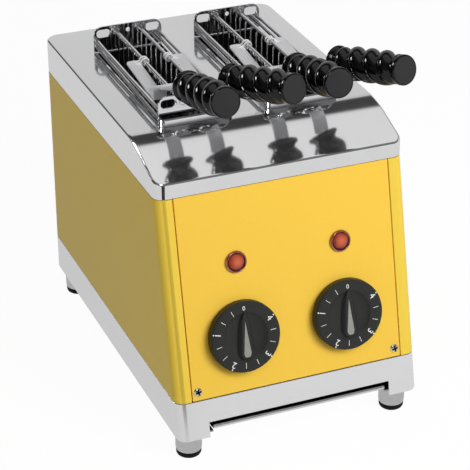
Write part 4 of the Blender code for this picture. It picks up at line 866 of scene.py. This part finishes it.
# Levers: flat bright steel that carries each handle. A clip holds it on the jaw's top wire,
# a spring strip runs forward beside the wire to an upright crossbar, and a stem rises to the handle.
lever_steel = surface("bright_lever_steel", (0.93, 0.93, 0.94), (0.96, 0.96, 0.97), (0.28, 0.36), 0.5, 300,
                      (1, 0.2, 1))
HANDLE_RISE, RIGHT_SPLAY = math.radians(13.8), math.radians(15)
STRIP_IN, STRIP_OUT, STEM_HALF = 0.0130, 0.0232, 0.0055
CLIP_LOOP, CLIP_WIRE = 0.0030, 0.0007


def handle_place(centre, side):
    """The handle's axis: its origin at the collar, its Z along the handle."""
    offset, splay = (-0.0140, 0) if side < 0 else (0.0190, RIGHT_SPLAY)
    return (Matrix.Translation((centre + offset, FRONT_BRACKET - 0.023, COVER_HIGH + 0.0375))
            @ Matrix.Rotation(splay, 4, "Z") @ Matrix.Rotation(math.pi / 2 - HANDLE_RISE, 4, "X"))


for name, slot_side in (("left", -1), ("right", 1)):
    for half, side in (("left", -1), ("right", 1)):
        centre = slot_side * SLOT_X
        top = COVER_HIGH + 0.0174
        clip_back = BACK_BRACKET - 0.060
        clip_front, cross = clip_back - 0.008, FRONT_BRACKET + 0.0215
        inner, outer = centre + side * STRIP_IN, centre + side * STRIP_OUT
        shape = bmesh.new()
        strip = [(inner, clip_back, COVER_HIGH + 0.0138), (inner, clip_front + 0.0030, COVER_HIGH + 0.0135),
                 (inner, clip_front, COVER_HIGH + 0.0133), (inner, clip_front - 0.038, COVER_HIGH + 0.0088),
                 (inner, cross + 0.0016, COVER_HIGH + 0.0087), (inner, cross + 0.0008, COVER_HIGH + 0.0095),
                 (inner, cross + 0.0008, top + 0.0027)]
        folded(shape, strip, (outer - inner, 0, 0), SHEET * 0.9, 0.0032)
        bar = centre + side * JAW_X
        loops = []
        for y in (clip_front + 0.0014, clip_front + 0.0052):
            loops.append([(bar + CLIP_LOOP * math.cos(step), y, JAW_Z + 0.9 * CLIP_LOOP * math.sin(step))
                          for step in [math.tau * count / 16 for count in range(17)]])
            loops.append([(bar + side * CLIP_LOOP, y, JAW_Z), ((inner + outer) / 2, y, COVER_HIGH + 0.0142)])
        wires(shape, loops, CLIP_WIRE, 2)
        grip = handle_place(centre, side)
        collar = grip.translation
        plate = pierced(((-0.0125, 0), (0.0125, 0.0032), 0.0014, lambda vert: vert.co.y > 0.002), [], SHEET)
        plate.transform(Matrix.Translation((collar.x, cross - 0.0004, top))
                        @ Matrix.Rotation(math.pi / 2, 4, "X"))
        append(shape, plate)
        along = grip.to_3x3() @ Vector((0, 0, 1))
        foot = collar - along * 0.0003
        middle = Vector((collar.x, cross + 0.0008, top + 0.0032 - 0.0010))
        bent = Vector((collar.x, cross - 0.0018, top + 0.0032 - 0.0007))
        half_stem = Vector((STEM_HALF, 0, 0))
        stem = [middle - half_stem, bent - half_stem, foot - half_stem - Vector((0, 0, 0.0004))]
        folded(shape, stem, (2 * STEM_HALF, 0, 0), SHEET)
        wires(shape, [[foot - along * 0.003, foot + along * 0.017]], 0.003, 5)
        node = "%s_tong_%s_lever" % (name, half)
        piece(node + "_plate", shape, lever_steel, "%s_tong_%s_half" % (name, half), [node],
              edge=0.0003, angle=40)

# Handles: glossy black moulded grips with a collar and two ridges that wind round them.
# A flat matt disc closes the front end.
handle_black = surface("glossy_handle_plastic", (0.002, 0.002, 0.002), (0.004, 0.004, 0.004), (0.08, 0.12),
                       0.0, 300, index=1.42)
disc_grey = surface("matt_end_disc", (0.024, 0.024, 0.025), (0.029, 0.029, 0.030), (0.60, 0.72), 0.0, 900,
                    index=1.3)
GRIP_START, GRIP_END, TWIST_PITCH = 0.0056, 0.071, 0.0325
RIDGE, GROOVE_DEPTH, COLLAR_NECK, END_NECK = 0.0127, 0.0046, 0.0085, 0.0094


def twist_radius(turn, height):
    """The twisted grip's radius at a turn and a height."""
    share = (height - GRIP_START) / (GRIP_END - GRIP_START)
    rise, fall = min(max(share * 4, 0), 0.5), min(max((1 - share) * 4, 0), 0.5)
    swell = math.sin(math.pi * rise) * math.sin(math.pi * fall)
    wave = abs(math.cos(turn - math.tau * height / TWIST_PITCH)) ** 0.75
    grip = RIDGE - GROOVE_DEPTH * (1 - wave)
    rest = COLLAR_NECK if share < 0.5 else END_NECK
    return rest + (grip - rest) * swell


for name, slot_side in (("left", -1), ("right", 1)):
    for half, side in (("left", -1), ("right", 1)):
        shape = bmesh.new()
        bmesh.ops.create_grid(shape, x_segments=72, y_segments=104, size=0.5)
        for vert in shape.verts:
            turn = (vert.co.x + 0.5) * math.tau
            height = GRIP_START + (vert.co.y + 0.5) * (GRIP_END - GRIP_START)
            radius = twist_radius(turn, height)
            vert.co = (radius * math.cos(turn), radius * math.sin(turn), height)
        bmesh.ops.remove_doubles(shape, verts=shape.verts, dist=1e-6)
        bmesh.ops.recalc_face_normals(shape, faces=shape.faces)
        collar = turned(((0.0033, 0), (0.0100, 0), (0.0112, 0.0005), (0.0118, 0.0014), (0.0118, 0.0022),
                         (0.0110, 0.0034), (0.0094, 0.0044), (COLLAR_NECK, GRIP_START)), 72)
        append(shape, collar)
        end = turned(((END_NECK, GRIP_END), (0.0104, 0.0714), (0.0110, 0.0722), (0.0110, 0.0752),
                      (0.0107, 0.0758), (0.0100, 0.0760)), 72)
        append(shape, end)
        bmesh.ops.remove_doubles(shape, verts=shape.verts, dist=2e-5)
        bmesh.ops.recalc_face_normals(shape, faces=shape.faces)
        shape.normal_update()
        widest = max(shape.faces, key=lambda face: face.calc_center_median().xy.length)
        if widest.normal.xy.dot(widest.calc_center_median().xy) < 0:
            bmesh.ops.reverse_faces(shape, faces=shape.faces)
        centre = slot_side * SLOT_X
        shape.transform(handle_place(centre, side))
        node = "%s_tong_%s_handle" % (name, half)
        body = "%s_tong_%s_half" % (name, half)
        piece(node + "_grip", shape, handle_black, body, [node], angle=60)
        shape = turned(((0, 0.0759), (0.0095, 0.0759), (0.0101, 0.0757), (0.0101, 0.0745), (0, 0.0745)), 64)
        shape.transform(handle_place(centre, side))
        piece(node + "_end_disc", shape, disc_grey, body, [node], angle=60)
